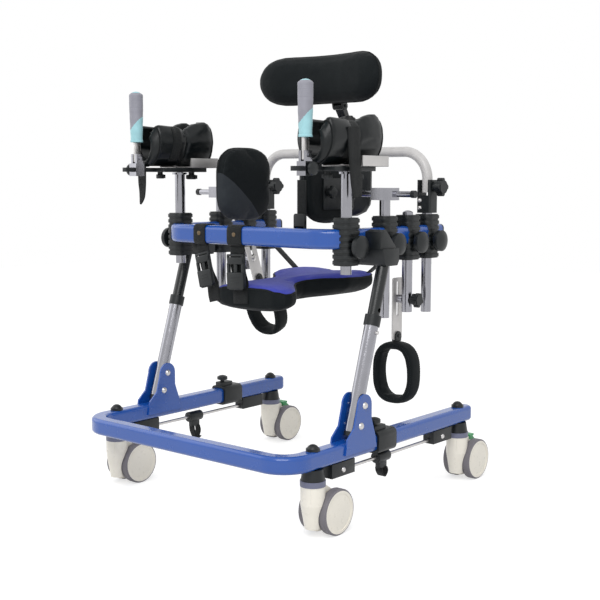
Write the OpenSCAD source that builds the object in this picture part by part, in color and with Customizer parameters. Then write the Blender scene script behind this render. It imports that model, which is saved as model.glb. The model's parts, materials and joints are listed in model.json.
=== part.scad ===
// Gait trainer: a wheeled base frame, a height-adjustable upper frame, and padded supports
// on posts that stand in clamps along its side rails. Front is -Y, the user faces -Y.
// Distances along Y are given from the base's front bar and moved to the middle at the end.

/* [Base frame] */
// Distance from a side rail's centreline out to the base leg's
leg_out = 50; // [46:1:56]
// Length from the front bar's centreline to the rear ends of the legs
base_len = 699; // [680:1:740]
// Height of the base tube's centreline above the floor
base_z = 167; // [163:1:178]
// Outside width and height of the square base tube
base_tube = 38; // [36:1:40]
// Corner rounding of the base tube's section
base_round = 9; // [6:1:12]
// Centreline bend radius of the base tube at its front corners
base_bend = 55; // [45:1:75]
// Wall of the frame tubes
tube_wall = 2; // [1.5:0.1:3]
// Thickness of the gusset plates that hold the uprights
gusset_t = 4; // [3:0.5:5]
// Height of the gusset plates' upper bolt above the base tube
gusset_bolt_z = 74; // [68:1:82]
// Diameter of the gusset bolts
gusset_bolt_d = 8; // [6:1:10]

/* [Casters] */
// Distance from the front bar's centreline back to the front caster stems
caster_front_y = 83; // [75:1:90]
// Distance from the legs' rear ends forward to the rear caster stems
caster_rear_inset = 48; // [40:1:60]
// Wheel diameter
wheel_d = 100; // [90:1:104]
// Width of one wheel
wheel_w = 23; // [20:1:25]
// Space between the two wheels of a caster
wheel_gap = 30; // [28:1:34]
// Distance from the stem back to the axle
trail = 45; // [38:1:48]
// Axle diameter
axle_d = 10; // [8:1:12]
// Stem diameter
stem_d = 12; // [10:1:13]
// Diameter of the bearing ring on top of the caster
ring_d = 55; // [52:1:60]
// Height of the bearing ring
ring_h = 12; // [9:1:14]
// Diameter of the tapered socket's larger end
socket_d = 52; // [48:1:54]
// Thickness of the brake pedal's lever
pedal_t = 10; // [8:1:12]

/* [Uprights] */
// Rearward lean of the uprights from vertical, in degrees
lean = 17.5; // [15:0.5:19]
// Distance from the front bar's centreline back to the upright's foot
foot_y = 210; // [200:1:220]
// Outside diameter of the lower chrome tube
upright_d = 32; // [31:0.5:34]
// Outside diameter of the sliding inner tube
inner_d = 28; // [26:0.5:28.5]
// Height of the lower tube's collar along the tube, from the foot
collar_s = 253; // [244:1:260]
// Length of the collar
collar_l = 24; // [20:1:30]
// Length of inner tube inside the lower tube at rest
inner_hidden = 110; // [95:1:120]
// Diameter of the height-setting button
button_d = 9; // [7:0.5:10]

/* [Upper frame] */
// Height of the upper frame tube's centreline above the floor
rail_z = 618; // [605:1:640]
// Distance from the upright heads forward to the front bar's centreline
head_setback = 128; // [122:1:134]
// Distance between the centrelines of the side rails
rail_span = 522; // [510:1:540]
// Length from the front bar's centreline to the rails' rear ends
rail_len = 402; // [400:1:440]
// Width of the upper frame tube
rail_w = 38; // [37:0.5:41]
// Height of the upper frame tube
rail_h = 44; // [42:0.5:46]
// Corner rounding of the upper frame tube's section
rail_round = 10; // [7:1:12]
// Centreline bend radius of the upper frame tube at its front corners
rail_bend = 60; // [50:1:75]
// Depth of the upright heads below the rail
head_drop = 38; // [34:1:40]

/* [Rail clamps] */
// Length of a clamp along the rail
clamp_l = 56; // [52:1:60]
// Wall of a clamp beside the rail
clamp_wall = 6; // [5:0.5:8]
// Height of a clamp
clamp_h = 105; // [100:1:110]
// Distance from the middle of the rail up to the clamp's top
clamp_up = 47; // [44:1:50]
// Corner rounding of a clamp
clamp_round = 17; // [12:1:18]
// Depth of the grip ribs
rib_depth = 2.5; // [1.5:0.5:3]
// Number of grip ribs
rib_count = 8; // [6:1:9]
// Diameter of a support post
post_d = 25; // [22:0.5:25]
// Wall of a support post
post_wall = 2.5; // [2:0.1:3]
// Diameter of a clamp knob
knob_d = 50; // [44:1:52]
// Forearm clamps, distance behind the front bar
forearm_y = 40; // [36:1:44]
// Trunk clamps, distance behind the front bar
trunk_y = 185; // [180:1:192]
// Thigh cuff clamps, distance behind the front bar
cuff_y = 278; // [270:1:284]
// Back clamps, distance behind the front bar
back_y = 360; // [352:1:368]

/* [Forearm supports] */
// Height of the forearm plate above the rail
forearm_up = 158; // [152:1:170]
// Length of the forearm pad
forearm_l = 204; // [196:1:216]
// Distance from the post forward to the pad's front end
forearm_front = 120; // [110:1:125]
// Outside width of the forearm pad
forearm_w = 100; // [92:1:106]
// Height of the forearm pad
forearm_h = 118; // [108:1:124]
// Wall of the forearm pad
forearm_wall = 18; // [15:1:20]
// Distance from the post forward to the hand grip
grip_y = 140; // [134:1:146]
// Length of the hand grip
grip_l = 119; // [105:1:130]
// Diameter of the hand grip
grip_d = 33; // [30:1:36]

/* [Trunk supports] */
// Height of the trunk rods above the rail
trunk_up = 97; // [92:1:105]
// Diameter of a trunk rod
trunk_rod_d = 14; // [12:0.5:16]
// Distance from the middle out to a trunk pad's mid thickness
trunk_x = 130; // [120:1:140]
// Width of a trunk pad, front to back
trunk_w = 185; // [165:1:190]
// Height of a trunk pad
trunk_h = 179; // [160:1:185]
// Thickness of a trunk pad
trunk_t = 38; // [32:1:42]

/* [Back and head] */
// Outside diameter of the back bar
back_bar_d = 25; // [22:0.5:26]
// Height of the back bar's cross piece above the rail
back_up = 197; // [190:1:205]
// Bend radius of the back bar
back_bend = 67; // [58:1:67]
// Height of the back hinge above the rail
hinge_up = 112; // [110:1:118]
// Width of the back pad
back_pad_w = 230; // [210:1:250]
// Height of the back pad
back_pad_h = 174; // [160:1:185]
// Thickness of the back pad
back_pad_t = 30; // [25:1:34]
// Height of the headrest's middle above the rail
head_up = 377; // [370:1:400]
// Width of the headrest
head_w = 376; // [340:1:390]
// Height of the headrest
head_h = 134; // [120:1:145]
// Thickness of the headrest
head_t = 62; // [54:1:68]
// Radius that the headrest curves round the head with
head_curve = 480; // [400:10:600]

/* [Seat] */
// Length of the seat
seat_l = 375; // [350:1:390]
// Half width of the seat across its rear
seat_rear = 126; // [118:1:130]
// Half width of the seat at its waist
seat_waist = 50; // [46:1:70]
// Half width of the seat across its front
seat_front = 116; // [112:1:122]
// Drop from the rail to the seat's top
seat_drop = 112; // [106:1:120]
// Thickness of the seat at its rear
seat_t = 48; // [42:1:52]
// Extra depth of the seat's front roll
seat_roll = 8; // [4:1:14]
// Width of the seat straps
strap_w = 38; // [34:1:40]
// Thickness of webbing
strap_t = 2.5; // [2:0.1:3]

/* [Thigh cuffs] */
// Drop from the rail to the cuff bolt on the right
cuff_drop = 153; // [148:1:160]
// How much higher the left cuff post is set
cuff_raise = 74; // [68:1:76]
// Rearward angle that the left cuff plate is set to, in degrees
cuff_tilt = 20; // [14:1:22]
// Width of a cuff plate
plate_w = 38; // [34:1:40]
// Length of a cuff plate
plate_l = 150; // [140:1:160]
// Thickness of a cuff plate
plate_t = 4; // [3:0.5:4]
// Width of a thigh loop
loop_w = 118; // [106:1:122]
// Height of a thigh loop
loop_h = 150; // [140:1:156]
// Width of the loop's band
band_w = 50; // [44:1:54]
// Thickness of the loop's band
band_t = 17; // [14:1:20]

/* [Leg fittings] */
// Diameter of the rods under the base legs
rod_d = 8; // [7:0.5:10]
// Drop from the base tube's underside to the rods
rod_drop = 22; // [20:1:24]
// Length of the rods' front and rear carriers
carrier_l = 80; // [70:1:84]
// Length of the sleeves on the base legs
sleeve_l = 68; // [60:1:72]
// Wall of the sleeves
sleeve_wall = 6; // [5:0.5:7]
// Space between the left sleeve and the rear rod carrier
sleeve_space = 14; // [12:1:18]
// Distance from the upright's foot back to the right sleeve
sleeve_right_y = 74; // [70:1:90]

/* [Hidden] */
$fn = 48;
run_fit = 0.08;
seat_fit = 0.05;
soft_gap = 0.3;
slide_gap = 0.3;

blue = "#3b62b0";
ivory = "#f3eee4";
black = "#1d2322";
chrome = "#a9a8b0";
silver = "#cfcccb";
tyre_grey = "#7b787c";
grip_grey = "#9a99a3";
violet = "#4a4fa5";
green = "#4fae70";

// Base places
rail_x = rail_span / 2;
leg_x = rail_x + leg_out;
base_top = base_z + base_tube / 2;
base_low = base_z - base_tube / 2;
caster_rear_y = base_len - caster_rear_inset;
wheel_r = wheel_d / 2;
caster_top = wheel_d + 12;
ring_top = caster_top + ring_h;
pedal_tab = 10;
rear_y = caster_rear_y + trail + wheel_r + pedal_tab;
origin_y = (rear_y - base_tube / 2) / 2;

// Upright places: s runs along the leaning axis from the foot on the base tube
function upright_y(z) = foot_y + (z - base_top) * tan(lean);
function lean_s(z) = (z - base_top) / cos(lean);
plug_s = upright_d / 2 * tan(lean) + 2;
tube_s = plug_s + 10;
collar_wall = 2.5;

// Upper frame places
rail_low = rail_z - rail_h / 2;
rail_top = rail_z + rail_h / 2;
front_y = upright_y(rail_z) - head_setback;
rail_end = front_y + rail_len;
head_low = rail_low - head_drop;
inner_top_s = lean_s(rail_low - 8);
inner_low_s = collar_s - inner_hidden;
clamp_w = rail_w + 2 * clamp_wall;
clamp_top = rail_z + clamp_up;
clamp_low = clamp_top - clamp_h;
clamp_offsets = [forearm_y, trunk_y, cuff_y, back_y];
hole_d = post_d + 2;

// Support places
trunk_post_low = 130;
back_post_low = 132;
stem_low = 70;
stem_bend = 40;
head_stand = 22;
plate_z = rail_z + forearm_up;
trunk_rod_z = rail_z + trunk_up;
hinge_z = rail_z + hinge_up;
bar_z = rail_z + back_up;
head_z = rail_z + head_up;
back_mid_y = front_y + back_y;
bolt_d = 8;

// Moves the design so that the middle of its footprint is the origin
module set_down() {
    translate([0, -origin_y, 0]) children();
}

// Draws a right-hand piece on either side
module on_side(side) {
    if (side > 0) children();
    else mirror([1, 0, 0]) children();
}

// Stands a piece on the right upright's axis at distance s from the foot
module on_upright(s) {
    translate([leg_x, foot_y, base_top]) rotate([-lean, 0, 0]) translate([0, 0, s]) children();
}

module along_x(d, length) {
    rotate([0, 90, 0]) cylinder(d = d, h = length, center = true);
}

module rounded_rect(w, h, r) {
    square([w - 2 * r, h], center = true);
    square([w, h - 2 * r], center = true);
    for (sx = [-1, 1], sy = [-1, 1])
        translate([sx * (w / 2 - r), sy * (h / 2 - r)]) circle(r);
}

// A run bent into a U in plan: a front bar, two bends and two side legs
module u_run(half_w, y0, y1, z, bend, w, h, r) {
    translate([0, y0, z]) rotate([90, 0, 90])
        linear_extrude(2 * (half_w - bend), center = true) rounded_rect(w, h, r);
    for (side = [-1, 1]) {
        translate([side * half_w, y0 + bend, z]) rotate([-90, 0, 0])
            linear_extrude(y1 - y0 - bend) rounded_rect(w, h, r);
        translate([side * (half_w - bend), y0 + bend, z]) rotate([0, 0, side > 0 ? -90 : 180])
            rotate_extrude(angle = 90) translate([bend, 0]) rounded_rect(w, h, r);
    }
}

// Round vertical nose that closes a leg's end
module leg_nose(w, h, r) {
    rotate_extrude(angle = 180) intersection() {
        rounded_rect(w, h, r);
        translate([0, -h]) square([w, 2 * h]);
    }
}

module tube(d, wall, length) {
    difference() {
        cylinder(d = d, h = length);
        translate([0, 0, -1]) cylinder(d = d - 2 * wall, h = length + 2);
    }
}

module dome(d, h) {
    intersection() {
        cylinder(d = d, h = h);
        translate([0, 0, h - (d * d / 4 + h * h) / (2 * h)]) sphere(r = (d * d / 4 + h * h) / (2 * h));
    }
}

// Hand knob on +Z with a hub and lobes, standing on its own stud
module star_knob(d, h, lobes) {
    cylinder(d = d * 0.5, h = h * 0.5);
    translate([0, 0, h * 0.35]) cylinder(d = d * 0.72, h = h * 0.65);
    for (i = [0 : lobes - 1]) rotate([0, 0, 360 * i / lobes])
        translate([d * 0.36, 0, h * 0.4]) cylinder(d = d * 0.28, h = h * 0.54);
}

module round_knob(d, h) {
    cylinder(d = d * 0.4, h = h * 0.4);
    translate([0, 0, h * 0.35]) cylinder(d = d, h = h * 0.4);
    translate([0, 0, h * 0.75]) dome(d, h * 0.25);
}

// Closed skin through rings of points. A fan closes each end, or a strip where the ring is a bent band
function middle(ring) = [for (k = [0 : 2]) let(v = [for (p = ring) p[k]]) (min(v) + max(v)) / 2];
module skin(rings, band = false) {
    n = len(rings[0]);
    m = len(rings);
    last = (m - 1) * n;
    points = concat([for (r = rings) each r], band ? [] : [middle(rings[0]), middle(rings[m - 1])]);
    sides = [for (i = [0 : m - 2], j = [0 : n - 1])
        let(a = i * n + j, b = i * n + (j + 1) % n) each [[a, b + n, b], [a, a + n, b + n]]];
    fans = band ? [] : [for (j = [0 : n - 1]) each [
        [m * n, j, (j + 1) % n],
        [m * n + 1, last + (j + 1) % n, last + j]]];
    strips = band ? [for (j = [0 : n / 2 - 2]) each [
        [j, j + 1, n - 2 - j], [j, n - 2 - j, n - 1 - j],
        [last + j, last + n - 2 - j, last + j + 1], [last + j, last + n - 1 - j, last + n - 2 - j]]] : [];
    polyhedron(points, concat(sides, fans, strips), convexity = 6);
}

// Pad outline: a rounded rectangle whose sides draw in between the corners
function pad_outline(w, h, power, draw, n) = [for (i = [0 : n - 1])
    let(a = 360 * i / n, c = cos(a), s = sin(a),
        r = pow(pow(abs(c), power) + pow(abs(s), power), -1 / power),
        pull = 1 - draw * pow(cos(2 * a), 2))
    [w / 2 * r * c * pull, h / 2 * r * s * pull]];

// Crowned cushion lying on z = 0, with its seam below the middle
module cushion(w, h, t, power = 3.4, draw = 0.02) {
    flat = pad_outline(w, h, power, draw, 32);
    levels = [[0, 0.93], [0.14, 0.985], [0.4, 1], [0.66, 0.975], [0.84, 0.9], [0.95, 0.7], [1, 0.36]];
    skin([for (l = levels) [for (p = flat) [p[0] * l[1], p[1] * l[1], t * l[0]]]]);
}

// Base

module base_outer() {
    u_run(leg_x, 0, base_len - base_tube / 2, base_z, base_bend, base_tube, base_tube, base_round);
    for (side = [-1, 1])
        translate([side * leg_x, base_len - base_tube / 2, base_z])
            leg_nose(base_tube, base_tube, base_round);
}

module base_hollow() {
    inside = base_tube - 2 * tube_wall;
    round = base_round - tube_wall;
    u_run(leg_x, 0, base_len - base_tube / 2, base_z, base_bend, inside, inside, round);
    for (side = [-1, 1])
        translate([side * leg_x, base_len - base_tube / 2, base_z]) leg_nose(inside, inside, round);
}

gusset_y = upright_y(base_top + gusset_bolt_z);
gusset_low_z = gusset_bolt_z * 0.42;
gusset_low_y = upright_y(base_top + gusset_low_z);
gusset_r = 25;
module gusset_profile() {
    polygon([
        [foot_y - 44, -base_tube / 2 - 6], [foot_y + 68, -base_tube / 2 - 6],
        [foot_y + 62, 4], [gusset_y + gusset_r, gusset_bolt_z - 32], [gusset_y + gusset_r, gusset_bolt_z],
        [gusset_y - gusset_r, gusset_bolt_z], [foot_y - 14, gusset_bolt_z - 44], [foot_y - 38, 8]]);
    translate([gusset_y, gusset_bolt_z]) circle(gusset_r);
}

module base_frame() {
    color(blue) set_down() difference() {
        union() {
            base_outer();
            for (side = [-1, 1], edge = [-1, 1])
                translate([side * leg_x + edge * (base_tube + gusset_t) / 2, 0, base_top])
                    rotate([90, 0, 90]) linear_extrude(gusset_t, center = true) gusset_profile();
        }
        base_hollow();
        for (side = [-1, 1]) {
            for (y = [caster_front_y, caster_rear_y])
                translate([side * leg_x, y, base_low - 1]) cylinder(d = stem_d + 1, h = base_tube + 2);
            translate([side * leg_x, gusset_y, base_top + gusset_bolt_z])
                along_x(gusset_bolt_d + 2 * seat_fit, 2 * base_tube);
            translate([side * leg_x, gusset_low_y, base_top + gusset_low_z])
                along_x(gusset_bolt_d + 2 * seat_fit, 2 * base_tube);
        }
    }
}

module caster_sockets() {
    set_down() for (side = [-1, 1], y = [caster_front_y, caster_rear_y]) translate([side * leg_x, y, 0]) {
        color(black) difference() {
            translate([0, 0, ring_top]) cylinder(d1 = socket_d, d2 = socket_d - 8, h = base_low - ring_top);
            translate([0, 0, ring_top - 1]) cylinder(d = stem_d + 2 * run_fit, h = base_low);
        }
        color(tyre_grey) difference() {
            translate([0, 0, caster_top]) cylinder(d = ring_d, h = ring_h);
            translate([0, 0, caster_top - 1]) cylinder(d = stem_d + 2 * run_fit, h = ring_h + 2);
        }
    }
}

module at_caster(front, side) {
    translate([side * leg_x, front ? caster_front_y : caster_rear_y, 0]) children();
}

pedal_y = trail + 24;
pedal_z = wheel_r + 26;
web_t = wheel_gap - 2;
slot_t = pedal_t + 1;

module housing_web() {
    translate([trail, wheel_r]) circle(wheel_r - 12);
    translate([pedal_y, pedal_z]) circle(9);
    polygon([
        [-ring_d / 2 + 4, caster_top - 30], [-4, 16], [trail, 12], [pedal_y + 6, pedal_z - 6],
        [pedal_y - 2, pedal_z + 8], [ring_d / 2 - 2, caster_top - 1], [-ring_d / 2 + 4, caster_top - 1]]);
}

module caster_housing(front, side) {
    color(ivory) set_down() at_caster(front, side) {
        difference() {
            union() {
                translate([0, 0, caster_top - 40]) cylinder(d = ring_d - 2, h = 40 - slide_gap);
                translate([0, 0, 20]) cylinder(d1 = ring_d - 20, d2 = ring_d - 2, h = caster_top - 60);
                rotate([90, 0, 90]) linear_extrude(web_t, center = true) housing_web();
            }
            for (edge = [-1, 1])
                translate([edge * (wheel_gap / 2 + wheel_w), trail, wheel_r])
                    along_x(wheel_d + 4, 2 * wheel_w + 2);
            translate([0, trail, wheel_r]) along_x(axle_d + 2 * run_fit, 2 * wheel_gap);
            if (!front) {
                translate([-slot_t / 2, pedal_y - 13, pedal_z - 13]) cube([slot_t, 60, 70]);
                translate([-slot_t / 2, pedal_y - 34, pedal_z + 2]) cube([slot_t, 60, 50]);
                translate([0, pedal_y, pedal_z]) along_x(6 + 2 * seat_fit, 2 * wheel_gap);
                // room for the pedal's foot plate when it is trodden down
                translate([-wheel_gap / 2, trail - 12, wheel_r + 46]) cube([wheel_gap, 60, 40]);
            }
        }
        translate([0, 0, caster_top - slide_gap]) cylinder(d = stem_d, h = base_top + 4 - caster_top);
        if (!front) translate([0, pedal_y, pedal_z]) along_x(6, web_t);
    }
}

module tyre_section() {
    square([6, wheel_w - 1]);
    translate([4, 3]) square([6, wheel_w - 7]);
    for (z = [4, wheel_w - 5]) translate([6, z]) circle(4);
}

module caster_wheels(front, side) {
    set_down() at_caster(front, side) translate([0, trail, wheel_r]) {
        for (edge = [-1, 1]) translate([edge * (wheel_gap / 2 + 0.5), 0, 0]) rotate([0, edge * 90, 0]) {
            color(tyre_grey) rotate_extrude() translate([wheel_r - 10, 0]) tyre_section();
            color(ivory) difference() {
                union() {
                    cylinder(r = wheel_r - 10 - seat_fit, h = wheel_w - 2);
                    translate([0, 0, wheel_w - 2]) dome(wheel_d - 24, 2);
                }
                translate([0, 0, -1]) cylinder(d = axle_d + 2 * seat_fit, h = wheel_w - 5);
            }
        }
        color(chrome) along_x(axle_d, wheel_gap + 2 * wheel_w - 14);
    }
}

module brake_pedal(side) {
    reach = wheel_r + 4;
    color(green) set_down() at_caster(false, side) {
        difference() {
            rotate([90, 0, 90]) linear_extrude(pedal_t, center = true) {
                translate([pedal_y, pedal_z]) circle(9);
                polygon([
                    [pedal_y - 8, pedal_z + 2], [pedal_y + 4, pedal_z - 8],
                    [trail + reach + 3, wheel_r + 12], [trail + reach + 3, wheel_r + 22],
                    [trail + 14, wheel_r + reach + 4], [trail - 4, wheel_r + reach + 4],
                    [trail + 2, wheel_r + reach - 2]]);
            }
            translate([0, pedal_y, pedal_z]) along_x(6 + 2 * run_fit, 2 * wheel_gap);
        }
        translate([-13, trail - 6, wheel_r + reach + 1]) cube([26, 20, 5]);
        translate([-10, trail + reach, wheel_r + 11]) cube([20, 6, 13]);
    }
}

module upright_tubes() {
    color(chrome) set_down() for (side = [-1, 1]) on_side(side) difference() {
        on_upright(tube_s) tube(upright_d, (upright_d - inner_d) / 2 - run_fit, collar_s + 8 - tube_s);
        translate([leg_x, gusset_y, base_top + gusset_bolt_z])
            along_x(gusset_bolt_d + 2 * seat_fit, 2 * base_tube);
        translate([leg_x, gusset_low_y, base_top + gusset_low_z])
            along_x(gusset_bolt_d + 2 * seat_fit, 2 * base_tube);
        on_upright(collar_s - 14) translate([upright_d / 2, 0, 0])
            along_x(button_d + 2 * run_fit, upright_d);
    }
}

// Domed caps over the caster stems, and the uprights' collars and foot plugs
module frame_caps() {
    color(black) set_down() {
        for (side = [-1, 1], y = [caster_front_y, caster_rear_y])
            translate([side * leg_x, y, base_top]) difference() {
                union() {
                    cylinder(d = 30, h = 5);
                    translate([0, 0, 5]) dome(26, 9);
                }
                translate([0, 0, -1]) cylinder(d = stem_d + 2, h = 7);
            }
        for (side = [-1, 1]) on_side(side) {
            on_upright(collar_s) difference() {
                cylinder(d = upright_d + 2 * collar_wall, h = collar_l);
                translate([0, 0, -1]) cylinder(d = upright_d + 2 * seat_fit, h = 9 + seat_fit);
                translate([0, 0, -1]) cylinder(d = inner_d + 2 * run_fit, h = collar_l + 2);
            }
            on_upright(plug_s) {
                cylinder(d = upright_d, h = tube_s - plug_s);
                cylinder(d = inner_d - 1, h = tube_s - plug_s + 4);
            }
        }
    }
}

module bracket_bolts() {
    span = base_tube + 2 * gusset_t;
    color(chrome) set_down() for (side = [-1, 1], low = [0, 1])
        translate([
            side * leg_x, low ? gusset_low_y : gusset_y,
            base_top + (low ? gusset_low_z : gusset_bolt_z)]) {
            along_x(gusset_bolt_d, span + 2);
            for (edge = [-1, 1])
                translate([edge * span / 2, 0, 0]) rotate([0, edge * 90, 0]) dome(gusset_bolt_d + 8, 6);
        }
}

module leg_sleeve(side, y) {
    inside = base_tube + 2 * slide_gap;
    outside = inside + 2 * sleeve_wall;
    color(black) set_down() on_side(side) translate([leg_x, y, 0]) {
        difference() {
            union() {
                translate([0, 0, base_z]) rotate([-90, 0, 0])
                    linear_extrude(sleeve_l) rounded_rect(outside, outside, base_round + 3);
                translate([-12, 2, base_z]) cube([24, sleeve_l * 0.6, outside / 2 + 10]);
            }
            translate([0, -1, base_z]) rotate([-90, 0, 0])
                linear_extrude(sleeve_l + 2) rounded_rect(inside, inside, base_round + slide_gap);
        }
        translate([0, 16, base_z + outside / 2 + 10]) round_knob(28, 18);
    }
}

rod_z = base_low - rod_drop;
carrier_front_y = caster_front_y + socket_d / 2 + 20;
carrier_rear_y = caster_rear_y - socket_d / 2 - 24 - carrier_l;
carrier_w = 30;

module stride_rods() {
    color(chrome) set_down() for (side = [-1, 1])
        translate([side * leg_x, carrier_front_y + 10, rod_z]) rotate([-90, 0, 0])
            cylinder(d = rod_d, h = carrier_rear_y + carrier_l - 20 - carrier_front_y);
}

module rod_boxes() {
    set_down() for (side = [-1, 1]) {
        color(black) difference() {
            for (y = [carrier_front_y, carrier_rear_y])
                translate([side * leg_x - carrier_w / 2, y, rod_z - rod_d / 2 - 5])
                    cube([carrier_w, carrier_l, base_low - rod_z + rod_d / 2 + 5]);
            translate([side * leg_x, carrier_front_y + 10 - seat_fit, rod_z]) rotate([-90, 0, 0])
                cylinder(
                    d = rod_d + 2 * seat_fit,
                    h = carrier_rear_y + carrier_l - 20 + 2 * seat_fit - carrier_front_y);
        }
        for (y = [carrier_front_y, carrier_rear_y])
            color(chrome) translate([side * (leg_x + carrier_w / 2), y + carrier_l / 2, rod_z + 4])
                rotate([0, side * 90, 0]) dome(12, 4);
    }
}

// Runner on the leg rod, with the strap hook that holds an ankle cuff
module ankle_slider(side, y) {
    color(black) set_down() on_side(side) translate([leg_x, y, rod_z]) {
        difference() {
            union() {
                rotate([-90, 0, 0]) cylinder(d = 26, h = 44);
                translate([-6, 8, -26]) cube([12, 28, 20]);
            }
            translate([0, -1, 0]) rotate([-90, 0, 0]) cylinder(d = rod_d + 2 * run_fit, h = 46);
        }
        translate([0, 22, -26 - slide_gap]) rotate([90, 0, 0])
            linear_extrude(24, center = true) difference() {
            translate([0, -13]) rounded_rect(32, 26, 9);
            translate([0, -13]) rounded_rect(22, 16, 5);
        }
    }
}

module height_button(side) {
    color(chrome) set_down() on_side(side) on_upright(collar_s - 14)
        translate([inner_d / 2 + run_fit + 0.2, 0, 0]) rotate([0, 90, 0]) {
            cylinder(d = button_d, h = 6);
            translate([0, 0, 6]) dome(button_d, 2.5);
        }
}

// Upper frame

module upper_frame() {
    inside_w = rail_w - 2 * tube_wall;
    inside_h = rail_h - 2 * tube_wall;
    color(blue) set_down() difference() {
        u_run(rail_x, front_y, rail_end, rail_z, rail_bend, rail_w, rail_h, rail_round);
        u_run(rail_x, front_y, rail_end + 1, rail_z, rail_bend, inside_w, inside_h, rail_round - tube_wall);
        for (side = [-1, 1], y = clamp_offsets)
            translate([side * rail_x, front_y + y, rail_low - 1]) cylinder(d = hole_d, h = rail_h + 2);
    }
}

module inner_tubes() {
    color(black) set_down() for (side = [-1, 1]) on_side(side) difference() {
        on_upright(inner_low_s) tube(inner_d, 2, inner_top_s - inner_low_s);
        for (step = [-3 : 2])
            on_upright(collar_s - 14 + 25 * step)
                translate([inner_d / 2, 0, 0]) along_x(button_d + 1, 10);
    }
}

module upright_heads() {
    mid_y = upright_y((head_low + rail_low) / 2);
    color(black) set_down() for (side = [-1, 1]) on_side(side) difference() {
        union() {
            translate([rail_x - rail_w / 2, 0, 0]) rotate([90, 0, 90])
                linear_extrude(leg_x + upright_d / 2 + 4 - rail_x + rail_w / 2)
                    polygon([
                        [mid_y - 32, rail_low], [mid_y - 26, head_low + 8], [mid_y - 20, head_low],
                        [mid_y + 22, head_low], [mid_y + 28, head_low + 10], [mid_y + 28, rail_low]]);
            translate([rail_x + rail_w / 2, 0, 0]) rotate([90, 0, 90])
                linear_extrude(leg_x + upright_d / 2 - 4 - rail_x - rail_w / 2)
                    polygon([
                        [mid_y - 32, rail_low - 1], [mid_y - 30, rail_z + 16], [mid_y - 12, rail_z + 20],
                        [mid_y + 26, rail_low + 4], [mid_y + 26, rail_low - 1]]);
        }
        on_upright(inner_low_s)
            cylinder(d = inner_d + 2 * seat_fit, h = inner_top_s + seat_fit - inner_low_s);
    }
}

// End plug of a side rail
module rail_plug() {
    inside_w = rail_w - 2 * tube_wall - 2 * seat_fit;
    inside_h = rail_h - 2 * tube_wall - 2 * seat_fit;
    translate([rail_x, rail_end, rail_z]) rotate([-90, 0, 0]) {
        linear_extrude(5) rounded_rect(rail_w, rail_h, rail_round);
        translate([0, 0, 1 - rail_len + back_y + clamp_l / 2])
            linear_extrude(rail_len - back_y - clamp_l / 2)
            rounded_rect(inside_w, inside_h, rail_round - tube_wall - seat_fit);
    }
}

// One ribbed clamp that holds a post upright, before the rail's way through it is cut
module clamp_block() {
    pitch = clamp_h / rib_count;
    difference() {
        union() {
            translate([0, 0, clamp_low]) linear_extrude(clamp_h)
                rounded_rect(clamp_w - 2 * rib_depth, clamp_l - 2 * rib_depth, clamp_round - rib_depth);
            for (i = [0 : rib_count - 1])
                translate([0, 0, clamp_low + pitch * (i + 0.2)]) linear_extrude(pitch * 0.6)
                    rounded_rect(clamp_w, clamp_l, clamp_round);
        }
        translate([0, 0, clamp_low - 1]) cylinder(d = post_d + 2 * run_fit, h = clamp_h + 2);
    }
}

module clamp_knob() {
    translate([clamp_w / 2, 0, clamp_low + clamp_h * 0.4]) rotate([0, 90, 0]) round_knob(knob_d, 26);
}

module rail_clamps() {
    w = rail_w + 2 * seat_fit;
    h = rail_h + 2 * seat_fit;
    r = rail_round + seat_fit;
    color(black) set_down() for (side = [-1, 1]) on_side(side) {
        // the front clamp sits on the bend, so the bent run is cut from it
        difference() {
            translate([rail_x, front_y + forearm_y, 0]) clamp_block();
            u_run(rail_x, front_y, rail_end, rail_z, rail_bend, w, h, r);
        }
        for (y = [trunk_y, cuff_y, back_y]) translate([rail_x, front_y + y, 0]) difference() {
            clamp_block();
            translate([0, 0, rail_z]) rotate([-90, 0, 0]) linear_extrude(2 * clamp_l, center = true)
                rounded_rect(w, h, r);
        }
        for (y = clamp_offsets) translate([rail_x, front_y + y, 0]) clamp_knob();
        rail_plug();
    }
}

// Seat

seat_y0 = front_y - 8;
seat_rise = 14;
seat_curl = 13;
function ease(t) = t * t * (3 - 2 * t);
function seat_half(u) =
    u < 0.1 ? seat_front
    : u < 0.38 ? seat_front + (seat_waist - seat_front) * ease((u - 0.1) / 0.28)
    : u < 0.68 ? seat_waist + (seat_rear - seat_waist) * ease((u - 0.38) / 0.3)
    : seat_rear;
function seat_round(u) =
    sqrt(1 - pow(max(0, 1 - u / 0.06), 2) * 0.5)
    * sqrt(1 - pow(max(0, (u - 0.9) / 0.1), 2) * 0.75);
function seat_top(u) = rail_z - seat_drop + seat_rise * (ease(min(1, u / 0.7)) - 0.5);
function seat_depth(u) = seat_t + seat_roll * (1 - ease(min(1, u / 0.3)));

// Saddle seat with a deep front roll, a waist and turned-up rear wings
module seat() {
    n = 24;
    stations = [for (i = [0 : 16]) ease(i / 16) * 0.5 + i / 32];
    rings = [for (u = stations)
        let(half = seat_half(u) * seat_round(u), depth = seat_depth(u) * (0.55 + 0.45 * seat_round(u)))
        [for (j = [0 : n - 1])
            let(a = -360 * j / n, c = cos(a), s = sin(a),
                k = pow(pow(abs(c), 4) + pow(abs(s), 4), -0.25),
                x = half * c * k,
                curl = seat_curl * pow(abs(c * k), 2) * ease(min(1, u / 0.7)))
            [x, seat_y0 + seat_l * u, seat_top(u) - depth / 2 + depth / 2 * s * k + curl]]];
    color(violet) set_down() skin(rings);
}

// Each front strap's place on the bar, the sideways run of its tail and its extra width
strap_runs = [[-134, 32, 0], [-20, 6, 8]];
strap_low = rail_z - seat_drop - seat_t;
buckle_h = 84;
buckle_z = rail_low - 20 - buckle_h / 2;

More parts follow.
